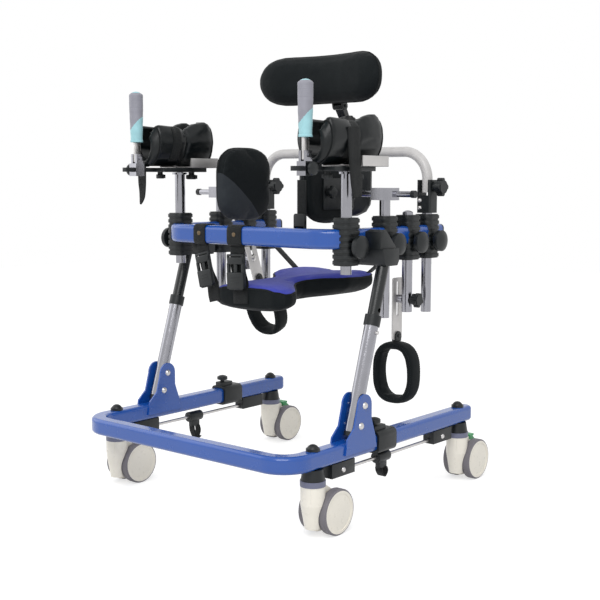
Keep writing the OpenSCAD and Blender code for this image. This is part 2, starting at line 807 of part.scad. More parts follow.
// Webbing loop round the front bar, its tail down to the seat and its buckle
module seat_straps() {
    loop_w = rail_w + 2 * soft_gap;
    loop_h = rail_h + 2 * soft_gap;
    tail_y = seat_y0 - strap_t - soft_gap;
    color(black) set_down() {
        for (run = strap_runs) translate([run[0], 0, 0]) {
            tail_top = rail_low - soft_gap - strap_t;
            slope = run[1] / (tail_top - strap_low);
            wide = strap_w + run[2];
            translate([0, front_y, rail_z]) rotate([90, 0, 90])
                linear_extrude(wide, center = true) difference() {
                rounded_rect(loop_w + 2 * strap_t, loop_h + 2 * strap_t, rail_round + strap_t);
                rounded_rect(loop_w, loop_h, rail_round + soft_gap);
            }
            translate([0, tail_y + strap_t, 0]) rotate([90, 0, 0]) linear_extrude(strap_t)
                polygon([
                    [run[1] - wide / 2, strap_low], [run[1] + wide / 2, strap_low],
                    [wide / 2, tail_top], [-wide / 2, tail_top]]);
            translate([slope * (tail_top - buckle_z), tail_y - soft_gap - 6, buckle_z])
                rotate([90, 0, 0]) rotate([0, 0, atan(slope)])
                linear_extrude(12, center = true) rounded_rect(wide + 8, buckle_h, 7);
        }
        for (side = [-1, 1]) on_side(side) rear_strap();
    }
}

// Plain web from a side rail down to the seat's rear wing
module rear_strap() {
    x0 = seat_rear - 6;
    x1 = rail_x - rail_w / 2 - soft_gap;
    z0 = seat_top(0.8) + 4;
    z1 = rail_z - 6;
    translate([0, front_y + (cuff_y + back_y) / 2, 0]) rotate([90, 0, 0])
        linear_extrude(strap_w * 0.6, center = true)
        polygon([[x0, z0], [x1, z1], [x1, z1 + strap_t * 1.4], [x0, z0 + strap_t * 1.4]]);
}

// Forearm supports

module at_post(offset) {
    translate([rail_x, front_y + offset, 0]) children();
}

module forearm_post(side) {
    top = plate_z - 16;
    color(chrome) set_down() on_side(side) at_post(forearm_y) {
        translate([0, 0, clamp_low - 20]) tube(post_d, post_wall, top - clamp_low + 20);
        translate([0, 0, top]) cylinder(d = post_d + 12, h = 5);
        translate([0, 0, top + 5]) cylinder(d = 16, h = 8);
    }
}

tray_w = forearm_w - 20;
bar_w = 14;
bar_h = 10;
module forearm_tray(side) {
    rear = forearm_l - forearm_front;
    color(black) set_down() on_side(side) at_post(forearm_y) {
        difference() {
            union() {
                translate([-tray_w / 2, 30 - forearm_front, plate_z - bar_h])
                    cube([tray_w, rear + forearm_front - 60, bar_h]);
                // bar in front that the hand grip slides along
                translate([-bar_w / 2, -grip_y - 40, plate_z - bar_h]) cube([bar_w, grip_y - 40, bar_h]);
            }
            translate([0, 0, plate_z - 16]) cylinder(d = 16 + 2 * run_fit, h = 16 - 3 + seat_fit);
        }
        // light metal channel that carries the rear of the pad
        color(silver) translate([0, rear - 100, plate_z + seat_fit]) difference() {
            translate([-forearm_w / 2 - 6, 0, 0]) cube([forearm_w + 12, 96, 24]);
            translate([-forearm_w / 2 - 3, -1, 3]) cube([forearm_w + 6, 98, 24]);
        }
        translate([0, -66, plate_z - bar_h]) rotate([180, 0, 0]) star_knob(26, 16, 3);
        translate([0, rear - 44, plate_z - bar_h]) rotate([180, 0, 0]) star_knob(30, 18, 5);
    }
}

function lobe(u) = 1 - 0.11 * pow(sin(180 * min(1, max(0, (u - 0.3) / 0.42))), 2);
function pad_end(u) =
    sqrt(1 - pow(max(0, 1 - u / 0.08), 2) * 0.5)
    * sqrt(1 - pow(max(0, (u - 0.88) / 0.12), 2) * 0.6);

// Padded trough with two lobes along it, open on top
module forearm_pad(side) {
    arc = 12;
    spread = 128;
    base_z0 = plate_z + 3 + soft_gap + seat_fit;
    rings = [for (i = [0 : 14])
        let(u = i / 14, grow = lobe(u) * pad_end(u), half = forearm_w / 2 * grow,
            tall = forearm_h * grow * lookup(u, [[0.3, 0.93], [0.55, 1], [0.8, 1.04]]),
            wall = forearm_wall * pad_end(u))
        concat(
            [for (j = [0 : arc]) let(a = -90 + spread - 2 * spread * j / arc)
                [half * cos(a), forearm_l * u - forearm_front, base_z0 + tall * 0.56 * (1 + sin(a))]],
            [for (j = [arc : -1 : 0]) let(a = -90 + spread - 2 * spread * j / arc)
                [(half - wall) * cos(a), forearm_l * u - forearm_front,
                    base_z0 + wall + (tall * 0.56 - wall * 0.6) * (1 + sin(a))]])];
    color(black) set_down() on_side(side) at_post(forearm_y) {
        skin(rings, true);
        // loose tail of the forearm strap, outside on the right and in front on the left
        if (side > 0)
            translate([forearm_w / 2 * 0.998 + soft_gap, -58, plate_z - 66]) cube([strap_t, 41.5, 150]);
        else
            translate([10, 14 - forearm_front, plate_z - 88]) cube([22, strap_t, 88 + 5.3 - soft_gap]);
    }
}

grip_z = plate_z + 60;
grip_pivot = plate_z + 22;
module grip_stem(side) {
    color(chrome) set_down() on_side(side) at_post(forearm_y) translate([0, -grip_y, 0]) {
        difference() {
            translate([-12, -14, plate_z - 20]) cube([24, 26, 30]);
            translate([-bar_w / 2 - slide_gap, -30, plate_z - bar_h - slide_gap])
                cube([bar_w + 2 * slide_gap, 60, bar_h + 2 * slide_gap]);
        }
        for (x = [-10, 4]) translate([x, -10, plate_z + 10]) cube([6, 20, 22]);
        translate([0, 0, grip_pivot]) along_x(bolt_d, 26);
        color(black) translate([12, 0, plate_z - 5]) rotate([0, 90, 0]) round_knob(28, 16);
    }
}

module hand_grip(side) {
    color(grip_grey) set_down() on_side(side) at_post(forearm_y) translate([0, -grip_y, 0]) {
        difference() {
            translate([0, 0, grip_pivot]) {
                translate([-4 + slide_gap, -9, 0]) cube([8 - 2 * slide_gap, 18, grip_z - grip_pivot]);
                along_x(18, 8 - 2 * slide_gap);
            }
            translate([0, 0, grip_pivot]) along_x(bolt_d + 2 * run_fit, 30);
        }
        translate([0, 0, grip_z]) rotate_extrude() polygon([
            [0, 0], [grip_d * 0.42, 0], [grip_d * 0.45, grip_l * 0.25], [grip_d / 2, grip_l * 0.7],
            [grip_d / 2, grip_l - 4], [grip_d / 2 - 4, grip_l], [0, grip_l]]);
    }
}

// Trunk supports

module trunk_post(side) {
    block = trunk_rod_d + 14;
    color(chrome) set_down() on_side(side) at_post(trunk_y) difference() {
        union() {
            translate([0, 0, clamp_low - trunk_post_low])
                tube(post_d, post_wall, trunk_rod_z - block / 2 - clamp_low + trunk_post_low);
            translate([-30, -block / 2, trunk_rod_z - block / 2]) cube([60, block, block]);
        }
        translate([0, 0, trunk_rod_z]) along_x(trunk_rod_d + 2 * run_fit, 80);
    }
}

trunk_draw = 0.025;
rod_out = 84;
pivot_x = trunk_x + trunk_t / 2 + 14;
module trunk_rod(side) {
    color(chrome) set_down() on_side(side) translate([0, front_y + trunk_y, trunk_rod_z]) {
        translate([pivot_x + 8, 0, 0]) rotate([0, 90, 0])
            cylinder(d = trunk_rod_d, h = rail_x + rod_out - 10 - pivot_x - 8);
        color(black) translate([rail_x + rod_out - 10, 0, 0]) rotate([0, 90, 0])
            cylinder(d = trunk_rod_d + 3, h = 10);
        difference() {
            union() {
                translate([pivot_x, 0, -7]) cylinder(d = 18, h = 14);
                translate([pivot_x, -7, -7]) cube([12, 14, 14]);
            }
            translate([pivot_x, 0, -8]) cylinder(d = bolt_d + 2 * run_fit, h = 16);
        }
    }
}

module trunk_pad(side) {
    mid_y = front_y + trunk_y - 48;
    mid_z = trunk_rod_z + 22;
    shell_x = trunk_x + trunk_t / 2;
    color(black) set_down() on_side(side) {
        translate([shell_x, mid_y, mid_z]) rotate([0, -90, 0])
            cushion(trunk_h, trunk_w, trunk_t, 3.2, trunk_draw);
        // backing plate with the clevis that pivots on the rod's end
        translate([shell_x + seat_fit, mid_y - 40, trunk_rod_z - 36]) cube([4, 112, 72]);
        translate([pivot_x, front_y + trunk_y, trunk_rod_z]) {
            for (z = [-7 - slide_gap - 5, 7 + slide_gap]) translate([0, 0, z]) {
                cylinder(d = 18, h = 5);
                translate([-pivot_x + shell_x + 4, -9, 0]) cube([pivot_x - shell_x - 4, 18, 5]);
            }
            translate([0, 0, -7 - slide_gap - 5]) cylinder(d = bolt_d, h = 24 + 2 * slide_gap);
        }
        translate([shell_x + 4 + seat_fit, mid_y - 24, trunk_rod_z + 4]) rotate([0, 90, 0])
            star_knob(30, 18, 4);
        if (side > 0) chest_strap(shell_x, mid_y - trunk_w / 2 * (1 - trunk_draw), mid_z);
    }
}

// Free half of the chest strap, with its buckle, hanging from the pad's front edge
module chest_strap(x, y, z) {
    drop = 118;
    translate([x - trunk_t / 2 - 13, y - strap_t - soft_gap, z - drop]) cube([26, strap_t, drop + 10]);
    translate([x - trunk_t / 2, y - strap_t - soft_gap - 5, z - drop + 26]) rotate([90, 0, 0])
        linear_extrude(9, center = true) rounded_rect(32, 52, 6);
}

// Thigh cuffs

cuff_spacer = clamp_w / 2 + 1 + seat_fit - post_d / 2;
bolt_z = rail_z - cuff_drop;
slot_l = 84;
plate_x = rail_x - post_d / 2 - cuff_spacer;

function lift(side) = side > 0 ? 0 : cuff_raise;
function slip(side) = side > 0 ? 0 : slot_l / 2 - bolt_d;
function tilt(side) = side > 0 ? 0 : cuff_tilt;

module cuff_post(side) {
    color(chrome) set_down() on_side(side) at_post(cuff_y) translate([0, 0, lift(side)]) {
        difference() {
            translate([0, 0, bolt_z - 30]) tube(post_d, post_wall, clamp_top + 6 - bolt_z + 30);
            translate([0, 0, bolt_z]) along_x(bolt_d + 2 * run_fit, 2 * post_d);
        }
        translate([0, 0, clamp_top + 6]) dome(post_d, 5);
        // boss that keeps the plate clear of the clamp
        translate([-post_d / 2 - cuff_spacer + slide_gap, 0, bolt_z]) rotate([0, 90, 0]) difference() {
            cylinder(d = 20, h = cuff_spacer + 3 - slide_gap);
            translate([0, 0, -1]) cylinder(d = bolt_d + 2 * run_fit, h = cuff_spacer + 6);
            translate([0, 0, cuff_spacer - slide_gap + post_d / 2]) rotate([0, 90, 0])
                cylinder(d = post_d + 2 * seat_fit, h = 60, center = true);
        }
    }
}

// Clamp bolt through post, boss and plate, with its head inside and its knob outside
module cuff_bolt(side) {
    color(black) set_down() on_side(side) at_post(cuff_y) translate([0, 0, bolt_z + lift(side)]) {
        translate([-post_d / 2 - cuff_spacer - plate_t - 1, 0, 0]) rotate([0, 90, 0])
            cylinder(d = bolt_d, h = post_d + cuff_spacer + plate_t + 6);
        translate([-post_d / 2 - cuff_spacer - plate_t - slide_gap, 0, 0]) rotate([0, -90, 0]) dome(18, 4);
        translate([post_d / 2 + slide_gap, 0, 0]) rotate([0, 90, 0]) star_knob(36, 24, 5);
    }
}

// Runs along a cuff plate from the bolt, upward along the plate
loop_pin = slot_l / 2 + 18 - plate_l;

module at_cuff(side) {
    translate([plate_x - plate_t / 2, front_y + cuff_y, bolt_z + lift(side)]) rotate([tilt(side), 0, 0])
        translate([0, 0, slip(side)]) children();
}

module cuff_plate(side) {
    color(silver) set_down() on_side(side) at_cuff(side) difference() {
        translate([0, 0, slot_l / 2 + 8 - plate_l / 2]) rotate([90, 0, 90])
            linear_extrude(plate_t, center = true) rounded_rect(plate_w, plate_l, 6);
        rotate([90, 0, 90]) linear_extrude(2 * plate_t, center = true) {
            square([bolt_d + 2 * slide_gap, slot_l - bolt_d], center = true);
            for (end = [-1, 1]) translate([0, end * (slot_l - bolt_d) / 2])
                circle(d = bolt_d + 2 * slide_gap);
        }
        translate([0, 0, loop_pin]) along_x(bolt_d + 2 * run_fit, 3 * plate_t);
    }
}

// Padded loop that hangs from the plate on a cross pin
module cuff_loop(side) {
    n = 10;
    m = 28;
    top = loop_pin - 14;
    mid_w = (loop_w - band_t) / 2;
    mid_h = (loop_h - band_t) / 2;
    points = [for (i = [0 : m - 1], j = [0 : n - 1])
        let(a = 360 * i / m, c = cos(a), s = sin(a),
            r = pow(pow(abs(c), 2.6) + pow(abs(s), 2.6), -1 / 2.6),
            b = 360 * j / n, k = pow(pow(abs(cos(b)), 3) + pow(abs(sin(b)), 3), -1 / 3),
            out = band_t / 2 * cos(b) * k)
        [(mid_w + out) * r * c, band_w / 2 * sin(b) * k, top - loop_h / 2 + (mid_h + out) * r * s]];
    faces = [for (i = [0 : m - 1], j = [0 : n - 1])
        let(p = i * n + j, q = i * n + (j + 1) % n,
            u = ((i + 1) % m) * n + j, v = ((i + 1) % m) * n + (j + 1) % n)
        each [[p, v, q], [p, u, v]]];
    color(black) set_down() on_side(side) at_cuff(side) {
        polyhedron(points, faces, convexity = 8);
        for (edge = [-1, 1]) translate([edge * (plate_t / 2 + slide_gap + 2), 0, 0]) difference() {
            rotate([90, 0, 90]) linear_extrude(4, center = true) {
                translate([0, loop_pin]) circle(11);
                translate([0, (loop_pin + top + 0.5) / 2]) square([22, loop_pin - top - 0.5], center = true);
            }
            translate([0, 0, loop_pin]) along_x(bolt_d + 2 * seat_fit, 20);
        }
        translate([0, 0, loop_pin]) along_x(bolt_d, plate_t + 2 * slide_gap + 12);
    }
}

// Back support

fork_w = back_bar_d + 14;
bracket_low = clamp_top + 3;
slot_z = hinge_z - back_bar_d / 2 - 8;

module back_posts() {
    set_down() for (side = [-1, 1]) on_side(side) at_post(back_y) {
        color(chrome) translate([0, 0, clamp_low - back_post_low])
            tube(post_d, post_wall, slot_z - 4 - clamp_low + back_post_low);
        color(black) difference() {
            translate([0, 0, bracket_low]) linear_extrude(hinge_z + 17 - bracket_low)
                rounded_rect(fork_w, 34, 5);
            translate([0, 0, bracket_low - 1])
                cylinder(d = post_d + 2 * seat_fit, h = slot_z - 4 - bracket_low + 1 + seat_fit);
            translate([-back_bar_d / 2 - slide_gap, -30, slot_z]) cube([back_bar_d + 2 * slide_gap, 60, 60]);
            translate([0, 0, hinge_z]) along_x(bolt_d + 2 * seat_fit, 80);
        }
        color(chrome) {
            translate([0, 0, hinge_z]) along_x(bolt_d, fork_w);
            for (z = [bracket_low + 30, bracket_low + 12])
                translate([-10, -17, z]) rotate([90, 0, 0]) dome(11, 4);
        }
    }
}

module back_knob(side) {
    color(black) set_down() translate([side * rail_x, back_mid_y, hinge_z])
        translate([fork_w / 2 + slide_gap, 0, 0]) rotate([0, 90, 0]) star_knob(44, 28, 4);
}

module back_bar() {
    color(silver) set_down() translate([0, back_mid_y, 0]) {
        translate([0, 0, bar_z]) along_x(back_bar_d, 2 * (rail_x - back_bend));
        for (side = [-1, 1]) on_side(side) {
            difference() {
                translate([rail_x, 0, hinge_z - 13])
                    cylinder(d = back_bar_d, h = bar_z - back_bend - hinge_z + 13);
                translate([rail_x, 0, hinge_z]) along_x(bolt_d + 2 * run_fit, 2 * back_bar_d);
            }
            translate([rail_x - back_bend, 0, bar_z - back_bend]) rotate([90, 0, 0])
                rotate_extrude(angle = 90) translate([back_bend, 0]) circle(d = back_bar_d);
        }
    }
}

stem_w = 24;
stem_t = 8;
board_t = 4;
pad_face = back_mid_y - back_bar_d / 2 - board_t - soft_gap;
stem_y = back_mid_y + back_bar_d / 2 + 4;
head_pivot = [0, back_mid_y - 8, head_z - 62];

module back_pad() {
    pad_z = bar_z + 12 - back_pad_h / 2;
    color(black) set_down() {
        translate([0, pad_face, pad_z]) rotate([90, 0, 0])
            cushion(back_pad_w, back_pad_h, back_pad_t, 4, 0.02);
        // board behind the cushion, with clips over the bar and the head stem's guide
        translate([-back_pad_w * 0.4, pad_face + soft_gap, pad_z - back_pad_h * 0.35])
            cube([back_pad_w * 0.8, board_t, back_pad_h * 0.7 + 10]);
        for (x = [-70, 70]) translate([x, back_mid_y, bar_z]) difference() {
            translate([-14, -back_bar_d / 2, -back_bar_d / 2 - 5])
                cube([28, back_bar_d + 4, back_bar_d + 10]);
            along_x(back_bar_d + 2 * seat_fit, 40);
        }
        translate([0, 0, bar_z]) difference() {
            translate([-stem_w / 2 - 7, back_mid_y - back_bar_d / 2, -26])
                cube([stem_w + 14, back_bar_d + stem_t + 14, 52]);
            translate([0, back_mid_y, 0]) along_x(back_bar_d + 2 * seat_fit, 60);
            translate([-stem_w / 2 - slide_gap, stem_y - slide_gap, -30])
                cube([stem_w + 2 * slide_gap, stem_t + 2 * slide_gap, 60]);
        }
        translate([0, stem_y + stem_t + 6, bar_z]) rotate([-90, 0, 0]) star_knob(34, 20, 5);
    }
}

module head_stem() {
    arm = head_pivot[1] - stem_y;
    color(black) set_down() {
        difference() {
            union() {
                translate([-stem_w / 2, stem_y, bar_z - stem_low])
                    cube([stem_w, stem_t, head_pivot[2] - stem_bend - bar_z + stem_low]);
                // arm that leans forward to the headrest's pivot
                rotate([90, 0, 90]) linear_extrude(stem_w, center = true)
                    polygon([
                        [stem_y, head_pivot[2] - stem_bend - 10],
                        [stem_y + stem_t, head_pivot[2] - stem_bend - 2],
                        [head_pivot[1] + 8, head_pivot[2] + 4],
                        [head_pivot[1] - 6, head_pivot[2] - 6]]);
                translate(head_pivot) along_x(20, stem_w);
            }
            translate(head_pivot) along_x(bolt_d + 2 * run_fit, 60);
        }
    }
}

// Wide pad that curves round the head, on a clevis that tilts on the stem
module headrest() {
    n = 18;
    m = 18;
    pad_y = head_pivot[1] - head_stand - head_t / 2;
    swing = asin(head_w / 2 / head_curve);
    rings = [for (i = [0 : m])
        let(u = -1 + 2 * i / m, a = swing * sin(90 * u) * 0.999,
            end = pow(max(0.02, 1 - pow(abs(sin(90 * u)), 5)), 0.5))
        [for (j = [0 : n - 1])
            let(b = 360 * j / n, k = pow(pow(abs(cos(b)), 2.6) + pow(abs(sin(b)), 2.6), -1 / 2.6),
                r = head_curve + head_t / 2 * cos(b) * k * end,
                waist = 1 - 0.06 * pow(cos(90 * u), 2))
            [r * sin(a), pad_y - head_curve + r * cos(a), head_z + head_h / 2 * sin(b) * k * end * waist]]];
    back = pad_y + head_t / 2 + soft_gap;
    color(black) set_down() {
        skin(rings);
        translate([-45, back, head_z - 34]) cube([90, 5, 68]);
        for (edge = [-1, 1]) translate([edge * (stem_w / 2 + slide_gap + 2.5), 0, 0])
            rotate([90, 0, 90]) linear_extrude(5, center = true) {
                translate([head_pivot[1], head_pivot[2]]) circle(10);
                polygon([
                    [head_pivot[1] - 9, head_pivot[2] - 4], [head_pivot[1] + 9, head_pivot[2] + 4],
                    [back + 5, head_z - 6], [back + 4, head_z - 30]]);
            }
        translate(head_pivot) along_x(bolt_d, stem_w + 2 * slide_gap + 18);
    }
}

// Node wrappers for the repeated pieces

module caster_housing_fl() { caster_housing(true, -1); }
module caster_housing_fr() { caster_housing(true, 1); }
module caster_housing_rl() { caster_housing(false, -1); }
module caster_housing_rr() { caster_housing(false, 1); }
module caster_wheels_fl() { caster_wheels(true, -1); }
module caster_wheels_fr() { caster_wheels(true, 1); }
module caster_wheels_rl() { caster_wheels(false, -1); }
module caster_wheels_rr() { caster_wheels(false, 1); }
module brake_pedal_l() { brake_pedal(-1); }
module brake_pedal_r() { brake_pedal(1); }
module leg_sleeve_l() { leg_sleeve(-1, carrier_rear_y - sleeve_space - sleeve_l); }
module leg_sleeve_r() { leg_sleeve(1, foot_y + sleeve_right_y); }
module ankle_slider_l() { ankle_slider(-1, foot_y + 115); }
module ankle_slider_r() { ankle_slider(1, foot_y + 95); }
module height_button_l() { height_button(-1); }
module height_button_r() { height_button(1); }
module forearm_post_l() { forearm_post(-1); }
module forearm_post_r() { forearm_post(1); }
module forearm_tray_l() { forearm_tray(-1); }
module forearm_tray_r() { forearm_tray(1); }
module forearm_pad_l() { forearm_pad(-1); }
module forearm_pad_r() { forearm_pad(1); }
module grip_stem_l() { grip_stem(-1); }
module grip_stem_r() { grip_stem(1); }
module hand_grip_l() { hand_grip(-1); }
module hand_grip_r() { hand_grip(1); }
module trunk_post_l() { trunk_post(-1); }
module trunk_post_r() { trunk_post(1); }
module trunk_rod_l() { trunk_rod(-1); }
module trunk_rod_r() { trunk_rod(1); }
module trunk_pad_l() { trunk_pad(-1); }
module trunk_pad_r() { trunk_pad(1); }
module cuff_post_l() { cuff_post(-1); }
module cuff_post_r() { cuff_post(1); }
module cuff_bolt_l() { cuff_bolt(-1); }
module cuff_bolt_r() { cuff_bolt(1); }
module cuff_plate_l() { cuff_plate(-1); }
module cuff_plate_r() { cuff_plate(1); }
module cuff_loop_l() { cuff_loop(-1); }
module cuff_loop_r() { cuff_loop(1); }
module back_knob_l() { back_knob(-1); }
module back_knob_r() { back_knob(1); }

base_frame();
frame_caps();
caster_sockets();
upright_tubes();
bracket_bolts();
leg_sleeve_l();
leg_sleeve_r();
stride_rods();
rod_boxes();
ankle_slider_l();
ankle_slider_r();
height_button_l();
height_button_r();
caster_housing_fl();
caster_housing_fr();
caster_housing_rl();
caster_housing_rr();
caster_wheels_fl();
caster_wheels_fr();
caster_wheels_rl();
caster_wheels_rr();
brake_pedal_l();
brake_pedal_r();
upper_frame();
inner_tubes();
upright_heads();
rail_clamps();
seat();
seat_straps();
forearm_post_l();
forearm_post_r();
forearm_tray_l();
forearm_tray_r();
forearm_pad_l();
forearm_pad_r();
grip_stem_l();
grip_stem_r();
hand_grip_l();
hand_grip_r();
trunk_post_l();
trunk_post_r();
trunk_rod_l();
trunk_rod_r();
trunk_pad_l();
trunk_pad_r();
cuff_post_l();
cuff_post_r();
cuff_bolt_l();
cuff_bolt_r();
cuff_plate_l();
cuff_plate_r();
cuff_loop_l();
cuff_loop_r();
back_posts();
back_knob_l();
back_knob_r();
back_bar();
back_pad();
head_stem();
headrest();
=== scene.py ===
"""Looks of the gait trainer: finishes for its frame, and its pads, straps and grips as soft pieces.

Lengths are in metres in the frame's own axes: the user faces -Y, and "l" is the -X side.
"""

import json
from functools import cache
from math import atan2, cos, hypot, pi, radians, sin

import bmesh
import bpy
import numpy as np
from mathutils import Matrix, Vector
from mathutils.bvhtree import BVHTree


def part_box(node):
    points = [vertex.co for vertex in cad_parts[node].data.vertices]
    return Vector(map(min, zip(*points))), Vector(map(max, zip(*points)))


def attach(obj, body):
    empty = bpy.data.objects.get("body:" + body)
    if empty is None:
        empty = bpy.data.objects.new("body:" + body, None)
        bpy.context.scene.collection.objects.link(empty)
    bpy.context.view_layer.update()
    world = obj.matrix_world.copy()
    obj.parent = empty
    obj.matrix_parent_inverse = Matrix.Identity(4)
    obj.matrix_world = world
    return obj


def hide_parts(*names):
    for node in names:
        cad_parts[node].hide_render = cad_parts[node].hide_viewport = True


bl_info = {
    "name": "Gait trainer looks",
    "version": (1, 0, 0),
    "blender": (4, 5, 0),
    "location": "View3D > Sidebar > Gait trainer",
    "description": "Finishes, pads, straps and grips of a gait trainer on its packed frame",
    "category": "Object",
}

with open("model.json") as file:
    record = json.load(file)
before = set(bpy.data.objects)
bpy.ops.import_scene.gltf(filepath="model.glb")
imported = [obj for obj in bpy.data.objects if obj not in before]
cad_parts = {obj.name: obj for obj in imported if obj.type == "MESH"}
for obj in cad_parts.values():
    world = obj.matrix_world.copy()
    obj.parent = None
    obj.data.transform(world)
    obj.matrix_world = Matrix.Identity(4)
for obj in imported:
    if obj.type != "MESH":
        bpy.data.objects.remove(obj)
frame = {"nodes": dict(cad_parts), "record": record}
NODES = frame["nodes"]
BODIES = {n: b for b, nodes in frame["record"]["behaviour"]["bodies"].items() for n in nodes}
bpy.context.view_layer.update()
SIDES = {"l": -1, "r": 1}
MATERIALS = {}
GROUPS = {}

RIB_SPACING = 0.0021
SEAM_STEP, ROW_STEP = 0.004, 0.003
# a pad is free from BOARD_HOLD away from its board, and the hold grows to the full over BOARD_FADE
BOARD_HOLD, BOARD_FADE = 0.004, 0.003
COVER_CLOTH = {
    "quality": 4,
    "mass": 0.3,
    "tension_stiffness": 12,
    "compression_stiffness": 12,
    "bending_stiffness": 0.4,
    "use_pressure": True,
    "uniform_pressure_force": 4,
    "vertex_group_mass": "hold",
}
SWELL_FRAMES = 20
# height of a caster's bearing ring, most height of its axle, and its hub's share of the wheel's radius
RING_HEIGHT, AXLE_MOST, HUB_SHARE = 0.012, 0.03, 0.91
# end caps of the trunk rods, knobs of the grip stems, and the least width of a tray's channel
CAP_LENGTH, KNOB_LENGTH, CHANNEL_LEAST = 0.0101, 0.0162, 0.105
# length of a hand grip and spacing of its ribs, and points round it and along it
GRIP_LENGTH, GRIP_RIB, GRIP_TURNS, GRIP_STEPS = 0.119, 0.004, 48, 96
# bend of the headrest, and depths of the pads' seams and rows from their boards
HEADREST_RADIUS, HEADREST_SEAM = 0.48, 0.031
BACK_SEAM, BACK_QUILT = 0.012, 0.045
TRUNK_SEAM, TRUNK_ROW = 0.013, 0.027
# where along a forearm trough its waist is, and how far the left thigh loop tilts, in degrees
WAIST_SHARE, CUFF_TILT, CUFF_ROW = 0.51, 20, 0.021
CAMERA_PLACE, CAMERA_TURN, CAMERA_PITCH, CAMERA_LENS = (1.697, -1.9815, 0.75), 39.96, 6.45, 64.44


def srgb(code):
    """A hex sRGB colour as linear red, green and blue."""
    parts = [int(code[i : i + 2], 16) / 255 for i in (0, 2, 4)]
    return tuple(c / 12.92 if c <= 0.04045 else ((c + 0.055) / 1.055) ** 2.4 for c in parts)


def colour(name, what, code):
    """A colour setting."""
    return bpy.props.FloatVectorProperty(
        name=name, description=what, default=srgb(code), size=3, min=0, max=1, subtype="COLOR"
    )


def length(name, what, default):
    """A length setting."""
    return bpy.props.FloatProperty(name=name, description=what, default=default, min=0, unit="LENGTH")


class GaitColours(bpy.types.PropertyGroup):
    """Colours of the trainer's finishes."""

    paint: colour("Frame paint", "Gloss paint of the base and the upper frame", "1450a8")
    cover: colour("Pad cover", "Knit cover of the pads", "0b1012")
    seat: colour("Seat cover", "Coated cloth on top of the seat", "3d45a6")
    band: colour("Cloth band", "Wide band across the left trunk pad", "2b2f33")
    webbing: colour("Webbing", "Straps", "0c0f10")
    black: colour("Black plastic", "Clamps, knobs and caps", "14181a")
    chrome: colour("Chrome", "Plated posts and uprights", "9d9da3")
    silver: colour("Silver tube", "Back bar", "c9c7c6")
    ivory: colour("Ivory plastic", "Caster housings and hubs", "f9f4e8")
    tyre: colour("Tyre", "Caster tyres", "77747a")
    ring: colour("Caster ring", "Bearing rings above the casters", "70738a")
    grip: colour("Grip", "Upper part of the hand grips", "8f8f99")
    aqua: colour("Grip accent", "Lower part of the hand grips", "9dcdd5")
    pedal: colour("Brake pedal", "Brake pedals of the rear casters", "3fa565")


class GaitSizes(bpy.types.PropertyGroup):
    """Sizes of the details that Blender adds."""

    webbing: length("Webbing thickness", "Thickness of a strap", 0.0025)
    piping: length("Piping", "Radius of the piping along a pad's seam", 0.0021)
    thread: length("Thread", "Radius of a stitch", 0.0006)
    stitch: length("Stitch spacing", "Distance from one stitch to the next", 0.0055)
    voxel: length("Pad mesh", "Edge length that a pad is remeshed with", 0.005)
    puff: length("Pad puff", "Furthest that a pad's cover swells", 0.005)
    edge: length("Eased edge", "Rounding of the moulded fittings' edges", 0.0009)


# Materials


def give(node, values):
    """Sets a node's inputs."""
    for key, value in values.items():
        node.inputs[key].default_value = value


def add(tree, kind, values=None, links=None, **settings):
    """Adds a node with its settings and input values, and links other nodes' outputs into it."""
    made = tree.nodes.new(kind)
    for key, value in settings.items():
        setattr(made, key, value)
    give(made, values or {})
    for key, source in (links or {}).items():
        tree.links.new(source, made.inputs[key])
    return made


def combine(tree, operation, *inputs):
    """Output of a maths node fed with numbers and other nodes' outputs."""
    numbers = {i: v for i, v in enumerate(inputs) if isinstance(v, float)}
    sources = {i: v for i, v in enumerate(inputs) if i not in numbers}
    return add(tree, "ShaderNodeMath", numbers, sources, operation=operation).outputs[0]


def start(name):
    """A new material with its node tree, its surface node and its object coordinates."""
    made = bpy.data.materials.new(name)
    made.use_nodes = True
    tree = made.node_tree
    surface = tree.nodes["Principled BSDF"]
    place = add(tree, "ShaderNodeTexCoord").outputs["Object"]
    MATERIALS[name] = made
    return tree, surface, place


def tint(tree, surface, base, factor, low, high):
    """Base colour that runs between two shades of one colour with factor."""
    ends = [tuple(min(1, c * k) for c in base) + (1,) for k in (low, high)]
    mixed = add(tree, "ShaderNodeMix", {6: ends[0], 7: ends[1]}, {0: factor}, data_type="RGBA")
    tree.links.new(mixed.outputs[2], surface.inputs["Base Color"])


def spread(tree, surface, factor, low, high):
    """Roughness that runs from low to high with factor."""
    ranged = add(tree, "ShaderNodeMapRange", {"To Min": low, "To Max": high}, {"Value": factor})
    tree.links.new(ranged.outputs["Result"], surface.inputs["Roughness"])


def raise_by(tree, surface, height, depth, strength=1.0):
    """Bump from a height between 0 and 1 that stands for depth in metres."""
    bump = add(tree, "ShaderNodeBump", {"Strength": strength, "Distance": depth}, {"Height": height})
    tree.links.new(bump.outputs["Normal"], surface.inputs["Normal"])


def noise(tree, place, size, detail=3.0, stretch=(1, 1, 1)):
    """Noise whose blotches are about size metres across."""
    scaled = add(tree, "ShaderNodeMapping", {"Scale": stretch}, {"Vector": place})
    spots = {"Scale": 1 / size, "Detail": detail}
    return add(tree, "ShaderNodeTexNoise", spots, {"Vector": scaled.outputs["Vector"]}).outputs["Fac"]


def gloss_paint(name, base, coat):
    """Powder coat under a clear coat: slight orange peel and faint scuffs."""
    tree, surface, place = start(name)
    tint(tree, surface, base, noise(tree, place, 0.12), 0.92, 1.08)
    spread(tree, surface, noise(tree, place, 0.03, 6), 0.2, 0.32)
    raise_by(tree, surface, noise(tree, place, 0.006, 1), 0.00004)
    give(surface, {"Coat Weight": coat, "Coat Roughness": 0.08})


